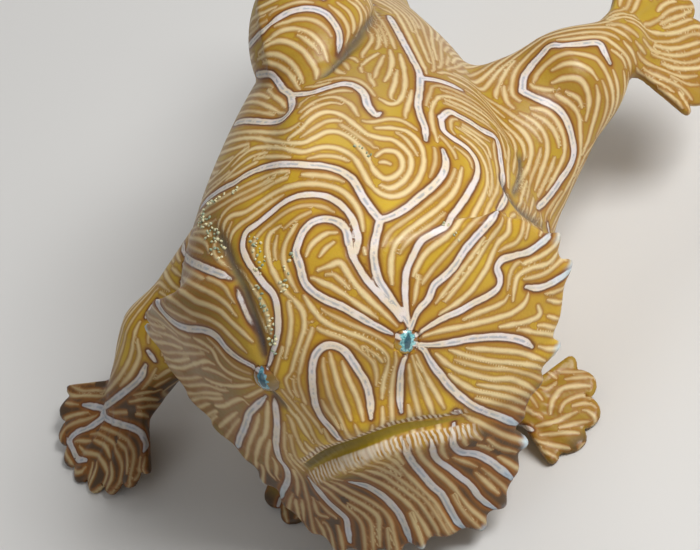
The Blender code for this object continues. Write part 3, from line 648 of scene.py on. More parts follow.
def anal(p):
    across, along, up = anal_place(p)
    ridge = ridge_fin(across, along, up, ANAL_HEIGHT, ANAL_RAYS)
    ends = np.maximum(ANAL_START - p[:, 1], p[:, 1] - ANAL_END)
    return smooth_max(smooth_max(ridge, ends, 1.0), -up - 4.0, 1.0)


def spine_lumps(p):
    """The two buried dorsal spines on the crown, behind the eyes."""
    front, rear = (limb(p, *ends) for ends in CROWN_SPINES)
    return smooth_min(rear, front, 2.0)


def eye_centre(side):
    """Centre of an eyeball, sunk so that only its front cap shows."""
    across, up = EYE_PLACES[side]
    forward = float(face_height(np.array([across]), np.array([up]))[0])
    return face_point(across, up, forward - EYE_RADIUS + EYE_BULGE)


EYES = {side: eye_centre(side) for side in (-1, 1)}


def eye_socket(p, side):
    """Positive within the hollow that an eyeball sits in."""
    off = p - EYES[side]
    return EYE_RADIUS + LID_GAP - np.sqrt((off * off).sum(axis=1))


def fish(p):
    """Distance to the whole fish without its eyeballs, cut level where it rests."""
    body = smooth_min(trunk(p), face_disc(p), 3.0)
    body = smooth_min(body, spine_lumps(p), 3.0)
    for joints, fan, face in ((RIGHT_ARM, RIGHT_HAND, RIGHT_ARM_FACE), (LEFT_ARM, LEFT_HAND, LEFT_ARM_FACE)):
        whole_arm = smooth_min(arm(p, joints, face), fan_fin(p, *fan), 2.0)
        body = smooth_min(body, whole_arm, 2.5)
    for side in (-1.0, 1.0):
        body = smooth_min(body, pelvic(p, side), 1.6)
    body = smooth_min(body, dorsal(p), 0.7)
    body = smooth_min(body, anal(p), 1.2)
    body = smooth_min(body, fan_fin(p, *CAUDAL), 2.0)
    for side in (-1, 1):
        body = smooth_max(body, eye_socket(p, side), 0.15)
    return np.maximum(body, -p[:, 2])


# ---- from distances to one closed skin ----


def doubled(value):
    """The same field on a grid twice as fine, with the means put between."""
    for axis in range(3):
        low = np.take(value, range(value.shape[axis] - 1), axis)
        high = np.take(value, range(1, value.shape[axis]), axis)
        shape = list(value.shape)
        shape[axis] = 2 * shape[axis] - 1
        finer = np.empty(shape, value.dtype)
        window = [slice(None)] * 3
        window[axis] = slice(0, None, 2)
        finer[tuple(window)] = value
        window[axis] = slice(1, None, 2)
        finer[tuple(window)] = 0.5 * (low + high)
        value = finer
    return value


def sampled(distance, low, high, cell):
    """The distance on a grid of the given cell, worked out only in a band round the surface."""
    coarse = 4.0 * cell
    ticks = [np.arange(a, b + coarse, coarse) for a, b in zip(low, high)]
    grid = np.stack(np.meshgrid(*ticks, indexing="ij"), axis=-1)
    value = distance(grid.reshape(-1, 3)).reshape(grid.shape[:3])
    for step, band in ((2.0 * cell, 2.4), (cell, 1.0)):
        value = doubled(value)
        where = np.argwhere(np.abs(value) < band)
        value[tuple(where.T)] = distance(where * step + np.array(low))
    return value


def surface(value):
    """Points, in grid steps, and four-sided faces of the zero surface of sampled distances."""
    inside = value < 0.0
    cells = tuple(n - 1 for n in value.shape)
    offsets = np.array(list(np.ndindex(2, 2, 2)))
    count = np.zeros(cells, np.int8)
    for a, b, c in offsets:
        count += inside[a:a + cells[0], b:b + cells[1], c:c + cells[2]]
    active = np.argwhere((count > 0) & (count < 8))
    corners = np.stack([value[tuple((active + offset).T)] for offset in offsets], axis=1)
    total, hits = np.zeros((len(active), 3)), np.zeros(len(active))
    for i, first in enumerate(offsets):
        for j, last in enumerate(offsets):
            if j <= i or np.abs(first - last).sum() != 1:
                continue
            crossing = (corners[:, i] < 0) != (corners[:, j] < 0)
            gap = np.where(crossing, corners[:, i] - corners[:, j], 1.0)
            t = np.where(crossing, corners[:, i] / gap, 0.0)
            total += np.where(crossing[:, None], first + t[:, None] * (last - first), 0.0)
            hits += crossing
    number = np.full(cells, -1, np.int32)
    number[tuple(active.T)] = np.arange(len(active))
    faces = []
    for axis in range(3):
        b, c = (axis + 1) % 3, (axis + 2) % 3
        here = [slice(1, n - 1) for n in value.shape]
        here[axis] = slice(0, value.shape[axis] - 1)
        there = list(here)
        there[axis] = slice(1, value.shape[axis])
        low, high = inside[tuple(here)], inside[tuple(there)]
        where = np.argwhere(low != high)
        around = []
        for db, dc in ((0, 0), (1, 0), (1, 1), (0, 1)):
            at = where.copy()
            at[:, b] += db
            at[:, c] += dc
            around.append(number[tuple(at.T)])
        quads = np.stack(around, axis=1)
        entering = high[low != high]
        quads[entering] = quads[entering][:, ::-1]
        faces.append(quads)
    return active + total / hits[:, None], np.concatenate(faces)


def largest_piece(points, faces):
    """Only the biggest connected piece, so that a cut leaves no crumbs."""
    label = np.arange(len(points))
    settled = False
    while not settled:
        lowest = label[faces].min(axis=1)
        spread = label.copy()
        for corner in range(4):
            np.minimum.at(spread, faces[:, corner], lowest)
        spread = spread[spread]
        settled = bool((spread == label).all())
        label = spread
    names, sizes = np.unique(label, return_counts=True)
    keep = label == names[np.argmax(sizes)]
    index = np.cumsum(keep) - 1
    return points[keep], index[faces[keep[faces[:, 0]]]]


def refined(points, faces, wanted):
    """Wanted faces split in four. A neighbour stays whole and takes in the new points on its edges."""
    ends = np.stack((faces, np.roll(faces, -1, axis=1)), axis=2)
    low, high = ends.min(axis=2).astype(np.int64), ends.max(axis=2).astype(np.int64)
    key = low * len(points) + high
    split = np.unique(key[wanted])
    at = np.minimum(np.searchsorted(split, key), len(split) - 1)
    middle = np.where(split[at] == key, len(points) + at, -1)
    halves = 0.5 * (points[split // len(points)] + points[split % len(points)])
    centres = points[faces[wanted]].mean(axis=1)
    centre = len(points) + len(split) + np.arange(len(centres))
    inner, corners = middle[wanted], faces[wanted]
    children = [
        np.stack((corners[:, k], inner[:, k], centre, inner[:, k - 1]), axis=1) for k in range(4)
    ]
    whole = ~wanted & (middle < 0).all(axis=1)
    mixed = []
    for face, between in zip(faces[~wanted & ~whole].tolist(), middle[~wanted & ~whole].tolist()):
        mixed.append([n for pair in zip(face, between) for n in pair if n >= 0])
    return np.concatenate((points, halves, centres)), np.concatenate([faces[whole]] + children), mixed


def edges_of(faces, mixed):
    """Each edge of the mesh once, as a pair of points."""
    pairs = [np.stack((faces[:, k], faces[:, (k + 1) % 4]), axis=1) for k in range(4)]
    around = [(a, b) for face in mixed for a, b in zip(face, face[1:] + face[:1])]
    pairs.append(np.array(around).reshape(-1, 2))
    return np.unique(np.sort(np.concatenate(pairs).astype(np.int64), axis=1), axis=0)


def neighbour_mean(amounts, edges):
    """For each point, the mean of its neighbours' amounts."""
    a, b = edges.T
    count = np.bincount(np.concatenate((a, b)), minlength=len(amounts))
    columns = [
        np.bincount(a, column[b], len(amounts)) + np.bincount(b, column[a], len(amounts))
        for column in amounts.T
    ]
    return np.stack(columns, axis=1) / count[:, None]


def slope_of(distance, points):
    """The distance at each point and how it changes along each axis."""
    reach = 0.10
    here = distance(points)
    return here, np.stack([distance(points + reach * axis) - here for axis in np.eye(3)], axis=1) / reach


def settled_on(distance, points):
    """Points brought onto the zero surface along the distance's own slope."""
    here, slope = slope_of(distance, points)
    steep = np.clip((slope * slope).sum(axis=1), 0.15, None)
    step = np.clip(-here / steep, -0.35, 0.35)
    points = points + step[:, None] * slope
    points[:, 2] = np.maximum(points[:, 2], 0.0)
    return points


def mesh_normals(points, faces):
    """A unit normal for each point, as the mean of its four-sided faces'."""
    corners = points[faces]
    tilt = np.cross(corners[:, 2] - corners[:, 0], corners[:, 3] - corners[:, 1])
    columns = [
        sum(np.bincount(faces[:, k], column, len(points)) for k in range(4)) for column in tilt.T
    ]
    return unit(np.stack(columns, axis=1) + 1e-12)


def evened(points, normals, edges, share):
    """Points moved along the surface towards the mean of their neighbours."""
    shift = neighbour_mean(points, edges) - points
    shift -= (shift * normals).sum(axis=1)[:, None] * normals
    return points + share * shift


class Skin:
    """The skin's mesh while it is shaped: four-sided faces, and some with more where its fineness changes."""

    def __init__(self, cell):
        low = np.array(GRID_LOW)
        value = sampled(fish, low, GRID_HIGH, cell)
        points, self.faces = largest_piece(*surface(value))
        self.points, self.mixed = points * cell + low, []
        self.settle(2)

    def settle(self, rounds):
        self.edges = edges_of(self.faces, self.mixed)
        for _ in range(rounds):
            self.points = evened(self.points, mesh_normals(self.points, self.faces), self.edges, 0.6)
            self.points = settled_on(fish, self.points)
        self.normals = unit(slope_of(fish, self.points)[1] + 1e-9)
        self.tree = BVHTree.FromPolygons(self.points.tolist(), self.polygons())

    def polygons(self):
        return self.faces.tolist() + self.mixed

    def refine(self, wanted_points, rounds):
        wanted = wanted_points[self.faces].any(axis=1)
        self.points, self.faces, mixed = refined(self.points, self.faces, wanted)
        self.mixed += mixed
        self.settle(rounds)

    def seen(self):
        """Which points the picture shows."""
        x, y = picture_of(self.points)
        inside = (x > -8) & (x < PICTURE_WIDTH + 8) & (y > -8) & (y < PICTURE_HEIGHT + 8)
        towards = unit(CAMERA_PLACE - self.points)
        facing = inside & ((towards * self.normals).sum(axis=1) > 0.0)
        for i in np.flatnonzero(facing):
            way = Vector(towards[i])
            facing[i] = self.tree.ray_cast(Vector(self.points[i]) + way * 0.6, way)[0] is None
        return facing


# ---- picture and camera ----


def camera_frame():
    """The camera's place in millimetres, and its right, up and forward, aimed at the picture's middle."""
    turn_sin, turn_cos = math.sin(CAMERA_AZIMUTH), math.cos(CAMERA_AZIMUTH)
    tilt_sin, tilt_cos = math.sin(CAMERA_ELEVATION), math.cos(CAMERA_ELEVATION)
    back = np.array((turn_sin * tilt_cos, -turn_cos * tilt_cos, tilt_sin))
    level_right = np.array((turn_cos, turn_sin, 0.0))
    level_up = np.array((-turn_sin * tilt_sin, turn_cos * tilt_sin, tilt_cos))
    roll_sin, roll_cos = math.sin(CAMERA_ROLL), math.cos(CAMERA_ROLL)
    right = level_right * roll_cos - level_up * roll_sin
    up = level_right * roll_sin + level_up * roll_cos
    place = EYES_MIDDLE + back * CAMERA_DISTANCE
    focal = PIXELS_PER_MM * CAMERA_DISTANCE
    aside, above = PICTURE_WIDTH / 2 - EYES_PIXEL[0], EYES_PIXEL[1] - PICTURE_HEIGHT / 2
    aim = -back * focal + right * aside + up * above
    forward = unit(aim)
    right = unit(right - forward * (right @ forward))
    return place, right, np.cross(right, forward), forward, focal


CAMERA_PLACE, CAMERA_RIGHT, CAMERA_UP, CAMERA_FORWARD, FOCAL_PIXELS = camera_frame()


def ray_of(x, y):
    """Direction from the camera through a point of the picture."""
    return unit(
        CAMERA_FORWARD * FOCAL_PIXELS
        + CAMERA_RIGHT * (x - PICTURE_WIDTH / 2)
        - CAMERA_UP * (y - PICTURE_HEIGHT / 2)
    )


def picture_of(points):
    """Where points fall in the picture."""
    off = points - CAMERA_PLACE
    depth = off @ CAMERA_FORWARD
    x = PICTURE_WIDTH / 2 + FOCAL_PIXELS * (off @ CAMERA_RIGHT) / depth
    y = PICTURE_HEIGHT / 2 - FOCAL_PIXELS * (off @ CAMERA_UP) / depth
    return x, y


def curve_through(points, spacing):
    """Evenly spaced places along a smooth curve through the points."""
    points = np.array(points, float)
    padded = np.vstack((2 * points[0] - points[1], points, 2 * points[-1] - points[-2]))
    out = []
    for a, b, c, d in zip(padded, padded[1:], padded[2:], padded[3:]):
        steps = max(2, int(np.ceil(np.hypot(*(c - b)[:2]) / spacing)))
        t = np.arange(steps)[:, None] / steps
        squared, cubed = 2 * a - 5 * b + 4 * c - d, 3 * b - a - 3 * c + d
        out.append(0.5 * (2 * b + (c - a) * t + squared * t ** 2 + cubed * t ** 3))
    out.append(points[-1:])
    return np.concatenate(out)


def places_seen(tree, pixels, spacing):
    """Where a curve of the picture falls on a mesh, with None where it misses."""
    places = []
    for x, y in curve_through(pixels, spacing):
        hit = tree.ray_cast(Vector(CAMERA_PLACE), Vector(ray_of(x, y)))[0]
        places.append(None if hit is None else np.array(hit))
    return places


# ---- lines of the skin ----


def away_from_eyes(points):
    return np.minimum(*(np.sqrt(((points - centre) ** 2).sum(axis=-1)) for centre in EYES.values()))


def eye_scale(points):
    """How much finer the pattern is near an eye: 1 away from them, less close by."""
    return 0.6 + 0.4 * smooth_step(1.5, 7.0, away_from_eyes(points))


class Lines:
    """White lines on the skin, kept as close-set points with the way each line runs."""

    def __init__(self, skin):
        self.tree = skin.tree
        self.runs = []

    def add(self, places, weight):
        """One unbroken run of points on the skin."""
        if len(places) >= 3:
            self.runs.append((np.array(places), weight))

    def add_runs(self, places, weight, longest):
        """A line that may leave the skin or jump to another part of it, split there."""
        run = []
        for place in places:
            if place is None or (run and np.linalg.norm(place - run[-1]) > longest):
                self.add(run, weight)
                run = []
            if place is not None:
                run.append(place)
        self.add(run, weight)

    def from_picture(self, named_lines):
        for weight, *pixels in named_lines.values():
            self.add_runs(places_seen(self.tree, pixels, LINE_PIXELS), weight, LINE_JUMP)

    def hidden(self, place):
        """Whether the picture doesn't show this place of the skin."""
        x, y = picture_of(place)
        if not (0 <= x <= PICTURE_WIDTH and 0 <= y <= PICTURE_HEIGHT):
            return True
        way = Vector(CAMERA_PLACE - place).normalized()
        return self.tree.ray_cast(Vector(place) + way * 0.5, way)[0] is not None

    def towards(self, froms, tos, weight):
        """A line where rays from outside meet the skin, only where the picture doesn't show it."""
        places = []
        for a, b in zip(froms, tos):
            hit = self.tree.ray_cast(Vector(a), (Vector(b) - Vector(a)).normalized())[0]
            place = None if hit is None else np.array(hit)
            places.append(place if place is not None and self.hidden(place) else None)
        self.add_runs(places, weight, RULED_JUMP)


def ways_along(places):
    ways = np.empty_like(places)
    ways[1:-1] = places[2:] - places[:-2]
    ways[0], ways[-1] = places[1] - places[0], places[-1] - places[-2]
    return unit(ways + 1e-9)


def finder_of(places):
    finder = KDTree(len(places))
    for i, place in enumerate(places):
        finder.insert(place, i)
    finder.balance()
    return finder


def grain_of(skin, runs):
    """The way the pattern runs at each point of the skin, spread smoothly from the lines' own ways."""
    places = np.concatenate([run for run, _ in runs])
    ways = np.concatenate([ways_along(run) for run, _ in runs])
    finder = finder_of(places)
    found = [finder.find(point)[1:] for point in skin.points]
    nearest = np.array([index for index, _ in found])
    near = np.array([gap for _, gap in found])
    way = ways[nearest]
    spread = np.stack([way[:, i] * way[:, j] for i in range(3) for j in range(3)], axis=1)
    fixed = spread.copy()
    hold = smooth_step(1.2, 0.3, near)[:, None]
    for _ in range(GRAIN_ROUNDS):
        spread = hold * fixed + (1.0 - hold) * neighbour_mean(spread, skin.edges)
    across = unit(np.cross(skin.normals, (0.36, 0.48, 0.8)) + 1e-9)
    along = np.cross(skin.normals, across)
    spread = spread.reshape(-1, 3, 3)
    aa = np.einsum("ni,nij,nj->n", across, spread, across)
    bb = np.einsum("ni,nij,nj->n", along, spread, along)
    ab = np.einsum("ni,nij,nj->n", across, spread, along)
    turn = 0.5 * np.arctan2(2.0 * ab, aa - bb)
    return np.cos(turn)[:, None] * across + np.sin(turn)[:, None] * along


class Crowd:
    """Points of the lines sorted into small boxes, to find quickly what lies near a place."""

    def __init__(self):
        self.boxes = {}

    def add(self, place, normal, room):
        box = tuple(int(amount // CROWD_BOX) for amount in place)
        self.boxes.setdefault(box, []).append((place, normal, room))

    def near(self, place, normal, reach):
        """Whether a line on the same side of the skin passes within reach and its own room."""
        i, j, k = (int(amount // CROWD_BOX) for amount in place)
        for a in (i - 1, i, i + 1):
            for b in (j - 1, j, j + 1):
                for c in (k - 1, k, k + 1):
                    for other, facing, room in self.boxes.get((a, b, c), ()):
                        if (other - place).length_squared < (reach + room) ** 2 and facing.dot(normal) > 0.2:
                            return True
        return False


def room_beside(weight):
    """Extra room that a broad line takes on each side, over a fine one's."""
    return ROOM_OF_WEIGHT * weight


def fine_runs(skin, runs, spacing, seed):
    """Fine lines that fill the skin between the given ones, evenly spaced and along the grain."""
    grain = grain_of(skin, runs)
    finder = finder_of(skin.points)
    chance = np.random.RandomState(seed)
    crowd = Crowd()
    waiting = []
    for places, weight in runs:
        for place in places:
            crowd.add(Vector(place), skin.tree.find_nearest(place)[1], room_beside(weight))
        waiting.append(([Vector(place) for place in places], weight))

    def follow(start, heading):
        """Points of a fine line from a start, until it comes near another line or turns back on itself."""
        place, run = start, []
        for _ in range(FINE_LONGEST):
            index = finder.find(place)[1]
            way = Vector(grain[index])
            way = way if way.dot(heading) >= 0.0 else -way
            step = (heading + way * 1.2).normalized() * FINE_STEP
            ahead, normal, _, _ = skin.tree.find_nearest(place + step)
            least = FINE_CLEAR_AHEAD * spacing[index]
            if crowd.near(ahead, normal, least) or (ahead - place).length < 0.3 * FINE_STEP:
                break
            if any((ahead - other).length < least for other in run[:-9:2]):
                break
            heading = (ahead - place).normalized()
            run.append(ahead)
            place = ahead
        return run

    made = []
    while waiting:
        waiting.sort(key=lambda each: len(each[0]))
        line, weight = waiting.pop()
        for i in range(1, len(line) - 1, 3):
            normal = skin.tree.find_nearest(line[i])[1]
            way = (line[i + 1] - line[i - 1]).normalized()
            side = way.cross(normal)
            for sign in (-1.0, 1.0):
                gap = spacing[finder.find(line[i])[1]]
                shift = side * (sign * (gap + room_beside(weight)))
                start, facing, _, _ = skin.tree.find_nearest(line[i] + shift)
                if crowd.near(start, facing, FINE_CLEAR_START * gap):
                    continue
                run = follow(start, -way)[::-1] + [start] + follow(start, way)
                if len(run) < FINE_SHORTEST:
                    continue
                light = 0.08 + 0.32 * chance.rand()
                for place in run:
                    crowd.add(place, skin.tree.find_nearest(place)[1], 0.0)
                made.append((np.array(run), light))
                waiting.append((run, light))
    return made


def merged(skin, runs, gap):
    """Runs without the points where a stronger one already passes within a gap, so that they join it."""
    crowd, out = Crowd(), []
    for places, weight in sorted(runs, key=lambda run: -run[1]):
        keep, kept = [], []
        for place in places:
            spot = Vector(place)
            if crowd.near(spot, skin.tree.find_nearest(spot)[1], gap * float(eye_scale(place))):
                kept.append(keep)
                keep = []
            else:
                keep.append(place)
        kept.append(keep)
        for piece in kept:
            if len(piece) > 3:
                out.append((np.array(piece), weight))
                for place in piece:
                    crowd.add(Vector(place), skin.tree.find_nearest(place)[1], 0.0)
    return out


def thinned(runs, stronger, gap):
    """Runs without the points that a stronger line already covers."""
    finder = finder_of(np.concatenate([run for run, _ in stronger]))
    halves = np.concatenate([np.full(len(run), line_half(weight)) for run, weight in stronger])
    out = []
    for places, weight in runs:
        keep = []
        for place in places:
            _, index, away = finder.find(place)
            scale = float(eye_scale(np.array(place)))
            if away > (halves[index] + gap) * scale:
                keep.append(place)
            else:
                if len(keep) > 3:
                    out.append((np.array(keep), weight))
                keep = []
        if len(keep) > 3:
            out.append((np.array(keep), weight))
    return out


def line_half(weight):
    """Half the width of a line of this weight, in millimetres."""
    return LINE_HALF_LEAST + LINE_HALF_MORE * weight


def line_halves(runs, others, crowding):
    """Half the width along each run: slimmer towards its free ends, and where another line comes close."""
    everything = runs + others
    owner = np.concatenate([np.full(len(run), i) for i, (run, _) in enumerate(everything)])
    finder = finder_of(np.concatenate([run for run, _ in everything]))
    halves = []
    for i, (run, weight) in enumerate(runs):
        gaps = []
        for place in run:
            close = [gap for _, index, gap in finder.find_range(place, NEIGHBOUR_REACH) if owner[index] != i]
            gaps.append(min(close, default=NEIGHBOUR_REACH))
        steps = np.concatenate(([0.0], np.cumsum(np.sqrt(((run[1:] - run[:-1]) ** 2).sum(axis=1)))))
        from_first = steps if gaps[0] > FREE_END_GAP else steps + 2.0
        from_last = steps[-1] - steps if gaps[-1] > FREE_END_GAP else steps[-1] - steps + 2.0
        slim = 0.55 + 0.45 * smooth_step(0.0, 1.6, np.minimum(from_first, from_last))
        half = np.minimum(line_half(weight), crowding * np.array(gaps)) * slim
        halves.append(np.where(half > LINE_HALF_DRAWN, half, -0.5))
    return halves


def measured(skin, runs, halves):
    """For each point: signed and plain distance to the nearest line, its weight and half width."""
    places = np.concatenate([run for run, _ in runs])
    ways = np.concatenate([ways_along(run) for run, _ in runs])
    weights = np.concatenate([np.full(len(run), weight) for run, weight in runs])
    ends = np.concatenate([[-1] + [0] * (len(run) - 2) + [1] for run, _ in runs])
    finder = finder_of(places)
    nearest = np.array([finder.find(point)[1] for point in skin.points])
    way, off = ways[nearest], skin.points - places[nearest]
    along = (off * way).sum(axis=1)
    end = ends[nearest]
    beyond = ((end > 0) & (along > 0)) | ((end < 0) & (along < 0))
    off = off - np.where(beyond, 0.0, along)[:, None] * way
    near = np.sqrt((off * off).sum(axis=1))
    side = np.sign((np.cross(way, off) * skin.normals).sum(axis=1))
    return near * side, near, weights[nearest], np.concatenate(halves)[nearest]


def dusk_and_painted_shade_at(points):
    """How much darker the skin is painted, partly its own duskier tone and partly painted shade: on its right
    side, the chin, the back and close to the ground.
    """
    x, y, z = points.T
    across, up, forward = face_axes(points)
    on_face = smooth_step(-9.0, -4.0, forward - face_height(across, up))
    dusk_and_painted_shade = 0.68 * smooth_step(-4.0, -15.0, x - 0.15 * y) * smooth_step(30.0, 16.0, y)
    dusk_and_painted_shade = np.maximum(dusk_and_painted_shade, smooth_step(-10.5, -16.0, up) * on_face)
    dusk_and_painted_shade = np.maximum(dusk_and_painted_shade, 0.30 * smooth_step(14.0, 34.0, y) * smooth_step(-22.0, -12.0, x))
    # Painted shade close to the ground.
    return np.maximum(dusk_and_painted_shade, 0.42 * smooth_step(12.0, 3.0, z))


def crease_depths(skin):
    """How deep the skin's folds press in at each of its points, and how much painted shade they get there."""
    depth, dark = np.zeros(len(skin.points)), np.zeros(len(skin.points))
    for deep, wide, *pixels in CREASES.values():
        places = [place for place in places_seen(skin.tree, pixels, FOLD_PIXELS) if place is not None]
        finder = finder_of(places)
        length = len(places) - 1
        for i in np.flatnonzero(away_from_line(skin.points, places) < 3.0 * wide):
            _, index, away = finder.find(skin.points[i])
            fade = smooth_step(0.0, 0.2, index / length) * smooth_step(1.0, 0.8, index / length)
            depth[i] = max(depth[i], deep * fade * math.exp(-(away / wide) ** 2))
            dark[i] = max(dark[i], fade * math.exp(-(away / (0.75 * wide)) ** 2))
    return depth, dark


def away_from_line(points, places):
    """A quick upper bound of each point's distance from a line, by its box."""
    low, high = np.min(places, axis=0), np.max(places, axis=0)
    return np.sqrt((np.clip(np.maximum(low - points, points - high), 0.0, None) ** 2).sum(axis=1))


def body_lines(lines):
    """Lines that run from the face to the tail over the parts that the picture doesn't show."""
    count = 24
    at = np.arange(2.0, 71.0, 0.5)
    for k in range(count):
        last = 71.0 if k % 4 == 0 else (60.0 if k % 2 == 0 else 44.0)
        y = at[at <= last]
        base = 2.0 * math.pi * k / count
        into = -2.0 * math.pi / count if k % 2 else -4.0 * math.pi / count
        merge = 0.0 if k % 4 == 0 else smooth_step(last - 9.0, last, y)
        angle = base + into * merge
        angle = angle + 0.20 * np.sin(0.21 * y + 2.0 * angle) + 0.10 * np.sin(0.47 * y - 3.0 * angle)
        y_bent = y + 2.6 * np.sin(2.0 * angle + 0.13 * y)
        middle = 0.5 * (through(TRUNK_STATIONS, 2, y_bent) + through(TRUNK_STATIONS, 3, y_bent))
        centre = np.stack((through(TRUNK_STATIONS, 4, y_bent), y_bent, middle), axis=1)
        way = np.stack((np.sin(angle), np.zeros_like(angle), np.cos(angle)), axis=1)
        lines.towards(centre + 75.0 * way, centre, 1.0 if k % 2 == 0 else 0.6)


def arm_hidden_lines(lines):
    """Lines along the hidden sides of both arms, from shoulder to wrist."""
    for joints in (RIGHT_ARM, LEFT_ARM):
        shoulder, elbow, wrist = (np.array(joint[:3]) for joint in joints)
        t = np.linspace(0.35, 1.0, 46)[:, None]
        upper = shoulder + (elbow - shoulder) * t
        s = np.linspace(0.0, 1.0, 26)[1:, None]
        lower = elbow + (wrist - elbow) * s
        centre = np.concatenate((upper, lower))
        along = unit(wrist - shoulder)
        side = unit(np.cross(along, (0.0, 0.0, 1.0)))
        top = np.cross(side, along)
        for k in range(7):
            turn = 2.0 * math.pi * k / 7 + 0.35 * np.sin(0.12 * np.arange(len(centre)) + k)
            way = np.cos(turn)[:, None] * side + np.sin(turn)[:, None] * top
            lines.towards(centre + 25.0 * way, centre, 1.0 if k % 2 == 0 else 0.6)


def fan_lines(lines, fan, mirror, every):
    """Lines along a fan's rays, on both faces of its web."""
    root, (along, across, out), length, spread, rays, base = fan[:6]
    behind = base / math.tan(spread)
    flip = np.array((mirror, 1.0, 1.0))
    for k in range(0, rays, every):
        turn = spread * (2.0 * k / (rays - 1) - 1.0) * 0.94
        reach = np.arange(behind + 1.0, behind + length * 0.97, 0.3)
        bend = turn + 0.10 * np.sin(0.7 * reach + k)
        centre = np.array(root[:3]) + (reach * np.cos(bend) - behind)[:, None] * along
        centre = (centre + (reach * np.sin(bend))[:, None] * across) * flip
        for face in (-1.0, 1.0):
            weight = 0.75 if k % 4 == 0 else 0.4
            lines.towards(centre + 9.0 * face * out * flip, centre - 2.0 * face * out * flip, weight)


def ridge_lines(lines, start, end, column, sign, count):
    """Short lines up the faces of the dorsal or anal fin."""
    for k in range(count):
        y0 = start + (end - start) * (k + 0.5) / count
        up = np.arange(-1.0, 7.5, 0.3)
        y = y0 + 0.25 * up
        z = through(TRUNK_STATIONS, column, y) + sign * up
        for face in (-1.0, 1.0):
            centre = np.stack((np.zeros_like(y), y, z), axis=1)
            side = np.array((face, 0.0, 0.0))
            lines.towards(centre + 20.0 * side, centre, 0.5)


# ---- shader maths ----


class Value:
    """A number that varies over the surface. Python's operators on it add the shader's Math nodes."""

    def __init__(self, shade, socket):
        self.shade, self.socket = shade, socket

    def __add__(self, other):
        return self.shade.maths("ADD", self, other)

    def __radd__(self, other):
        return self.shade.maths("ADD", other, self)

    def __sub__(self, other):
        return self.shade.maths("SUBTRACT", self, other)

    def __rsub__(self, other):
        return self.shade.maths("SUBTRACT", other, self)

    def __mul__(self, other):
        return self.shade.maths("MULTIPLY", self, other)

    def __rmul__(self, other):
        return self.shade.maths("MULTIPLY", other, self)

    def __truediv__(self, other):
        return self.shade.maths("DIVIDE", self, other)

    def __abs__(self):
        return self.shade.maths("ABSOLUTE", self)

    def rising(self, low, high):
        """0 below low, 1 above high, smooth between."""
        settings = {"interpolation_type": "SMOOTHSTEP"}
        sockets = {"Value": self, "From Min": low, "From Max": high, "To Min": 0.0, "To Max": 1.0}
        return self.shade.node("ShaderNodeMapRange", settings, sockets, "Result")


class Shade:
    """A material and the one way its nodes are added."""

    def __init__(self, name, **constants):
        self.material = bpy.data.materials.new(name)
        self.material.use_nodes = True
        self.tree = self.material.node_tree
        self.shader = self.tree.nodes["Principled BSDF"]
        for socket, amount in constants.items():
            self.shader.inputs[socket.replace("_", " ")].default_value = amount

    def node(self, kind, settings, sockets, result):
        """A node of any kind: its settings are made first, then its sockets are set or linked."""
        node = self.tree.nodes.new(kind)
        for name, setting in settings.items():
            setattr(node, name, setting)
        for name, amount in sockets.items():
            self.put(node.inputs[name], amount)
        return Value(self, node.outputs[result])

    def put(self, socket, amount):
        if isinstance(amount, Value):
            self.tree.links.new(amount.socket, socket)
        else:
            socket.default_value = amount

    def maths(self, operation, *amounts):
        return self.node("ShaderNodeMath", {"operation": operation}, dict(enumerate(amounts)), "Value")

    def attribute(self, name):
        return self.node("ShaderNodeAttribute", {"attribute_name": name}, {}, "Fac")

    def place(self):
        return self.node("ShaderNodeTexCoord", {}, {}, "Object")

    def noise(self, scale, detail=2.0, roughness=0.5, vector=None):
        sockets = {"Scale": scale, "Detail": detail, "Roughness": roughness, "Vector": vector or self.place()}
        return self.node("ShaderNodeTexNoise", {}, sockets, "Fac")

    def mix(self, amount, first, second, blend="MIX"):
        """A colour between two: all of the second where the amount is 1."""
        settings = {"data_type": "RGBA", "blend_type": blend}
        colours = [c if isinstance(c, Value) else (*c, 1.0) for c in (first, second)]
        return self.node("ShaderNodeMix", settings, {0: amount, 6: colours[0], 7: colours[1]}, 2)

    def wear(self, colour=None, roughness=None, height=None, depth=0.0001):
        """Feeds the shader's colour, roughness and relief."""
        if colour is not None:
            self.put(self.shader.inputs["Base Color"], colour)
        if roughness is not None:
            self.put(self.shader.inputs["Roughness"], roughness)
        if height is not None:
            bump = self.node("ShaderNodeBump", {}, {"Height": height, "Distance": depth}, "Normal")
            self.put(self.shader.inputs["Normal"], bump)
        return self.material


GOLD = (0.60, 0.39, 0.026)
OCHRE = (0.40, 0.20, 0.020)
UMBER = (0.085, 0.048, 0.022)
ORANGE = (0.30, 0.110, 0.014)
RUST = (0.15, 0.046, 0.011)
CREAM = (0.79, 0.62, 0.32)
PINKISH_WHITE = (0.80, 0.71, 0.67)
BLUISH_WHITE = (0.52, 0.66, 0.74)
SLATE = (0.20, 0.26, 0.33)
MUSTARD = (0.38, 0.26, 0.016)
# Painted shade in the mouth's band.
OLIVE_PAINTED_SHADE = (0.15, 0.10, 0.010)
LIP_WHITE = (0.72, 0.64, 0.52)
# Painted shade in the skin's folds.
CREASE_PAINTED_SHADE = (0.045, 0.060, 0.075)
TURQUOISE = (0.13, 0.45, 0.48)
PALE_TURQUOISE = (0.42, 0.76, 0.74)
SEA_BLUE = (0.015, 0.12, 0.23)
DEEP_BLUE = (0.012, 0.06, 0.09)
GREENISH_GREY = (0.27, 0.33, 0.22)
GRANULE_WHITE = (0.68, 0.62, 0.38)


def line_distance(s, name):
    """Distance from a kind of line, sharp at its middle however coarse the mesh is."""
    near, side = s.attribute(name + "_near"), s.attribute(name + "_side")
    close = 1.0 - (near / s.attribute("mesh_step")).rising(0.6, 0.85)
    return abs(side) * close + near * (1.0 - close)


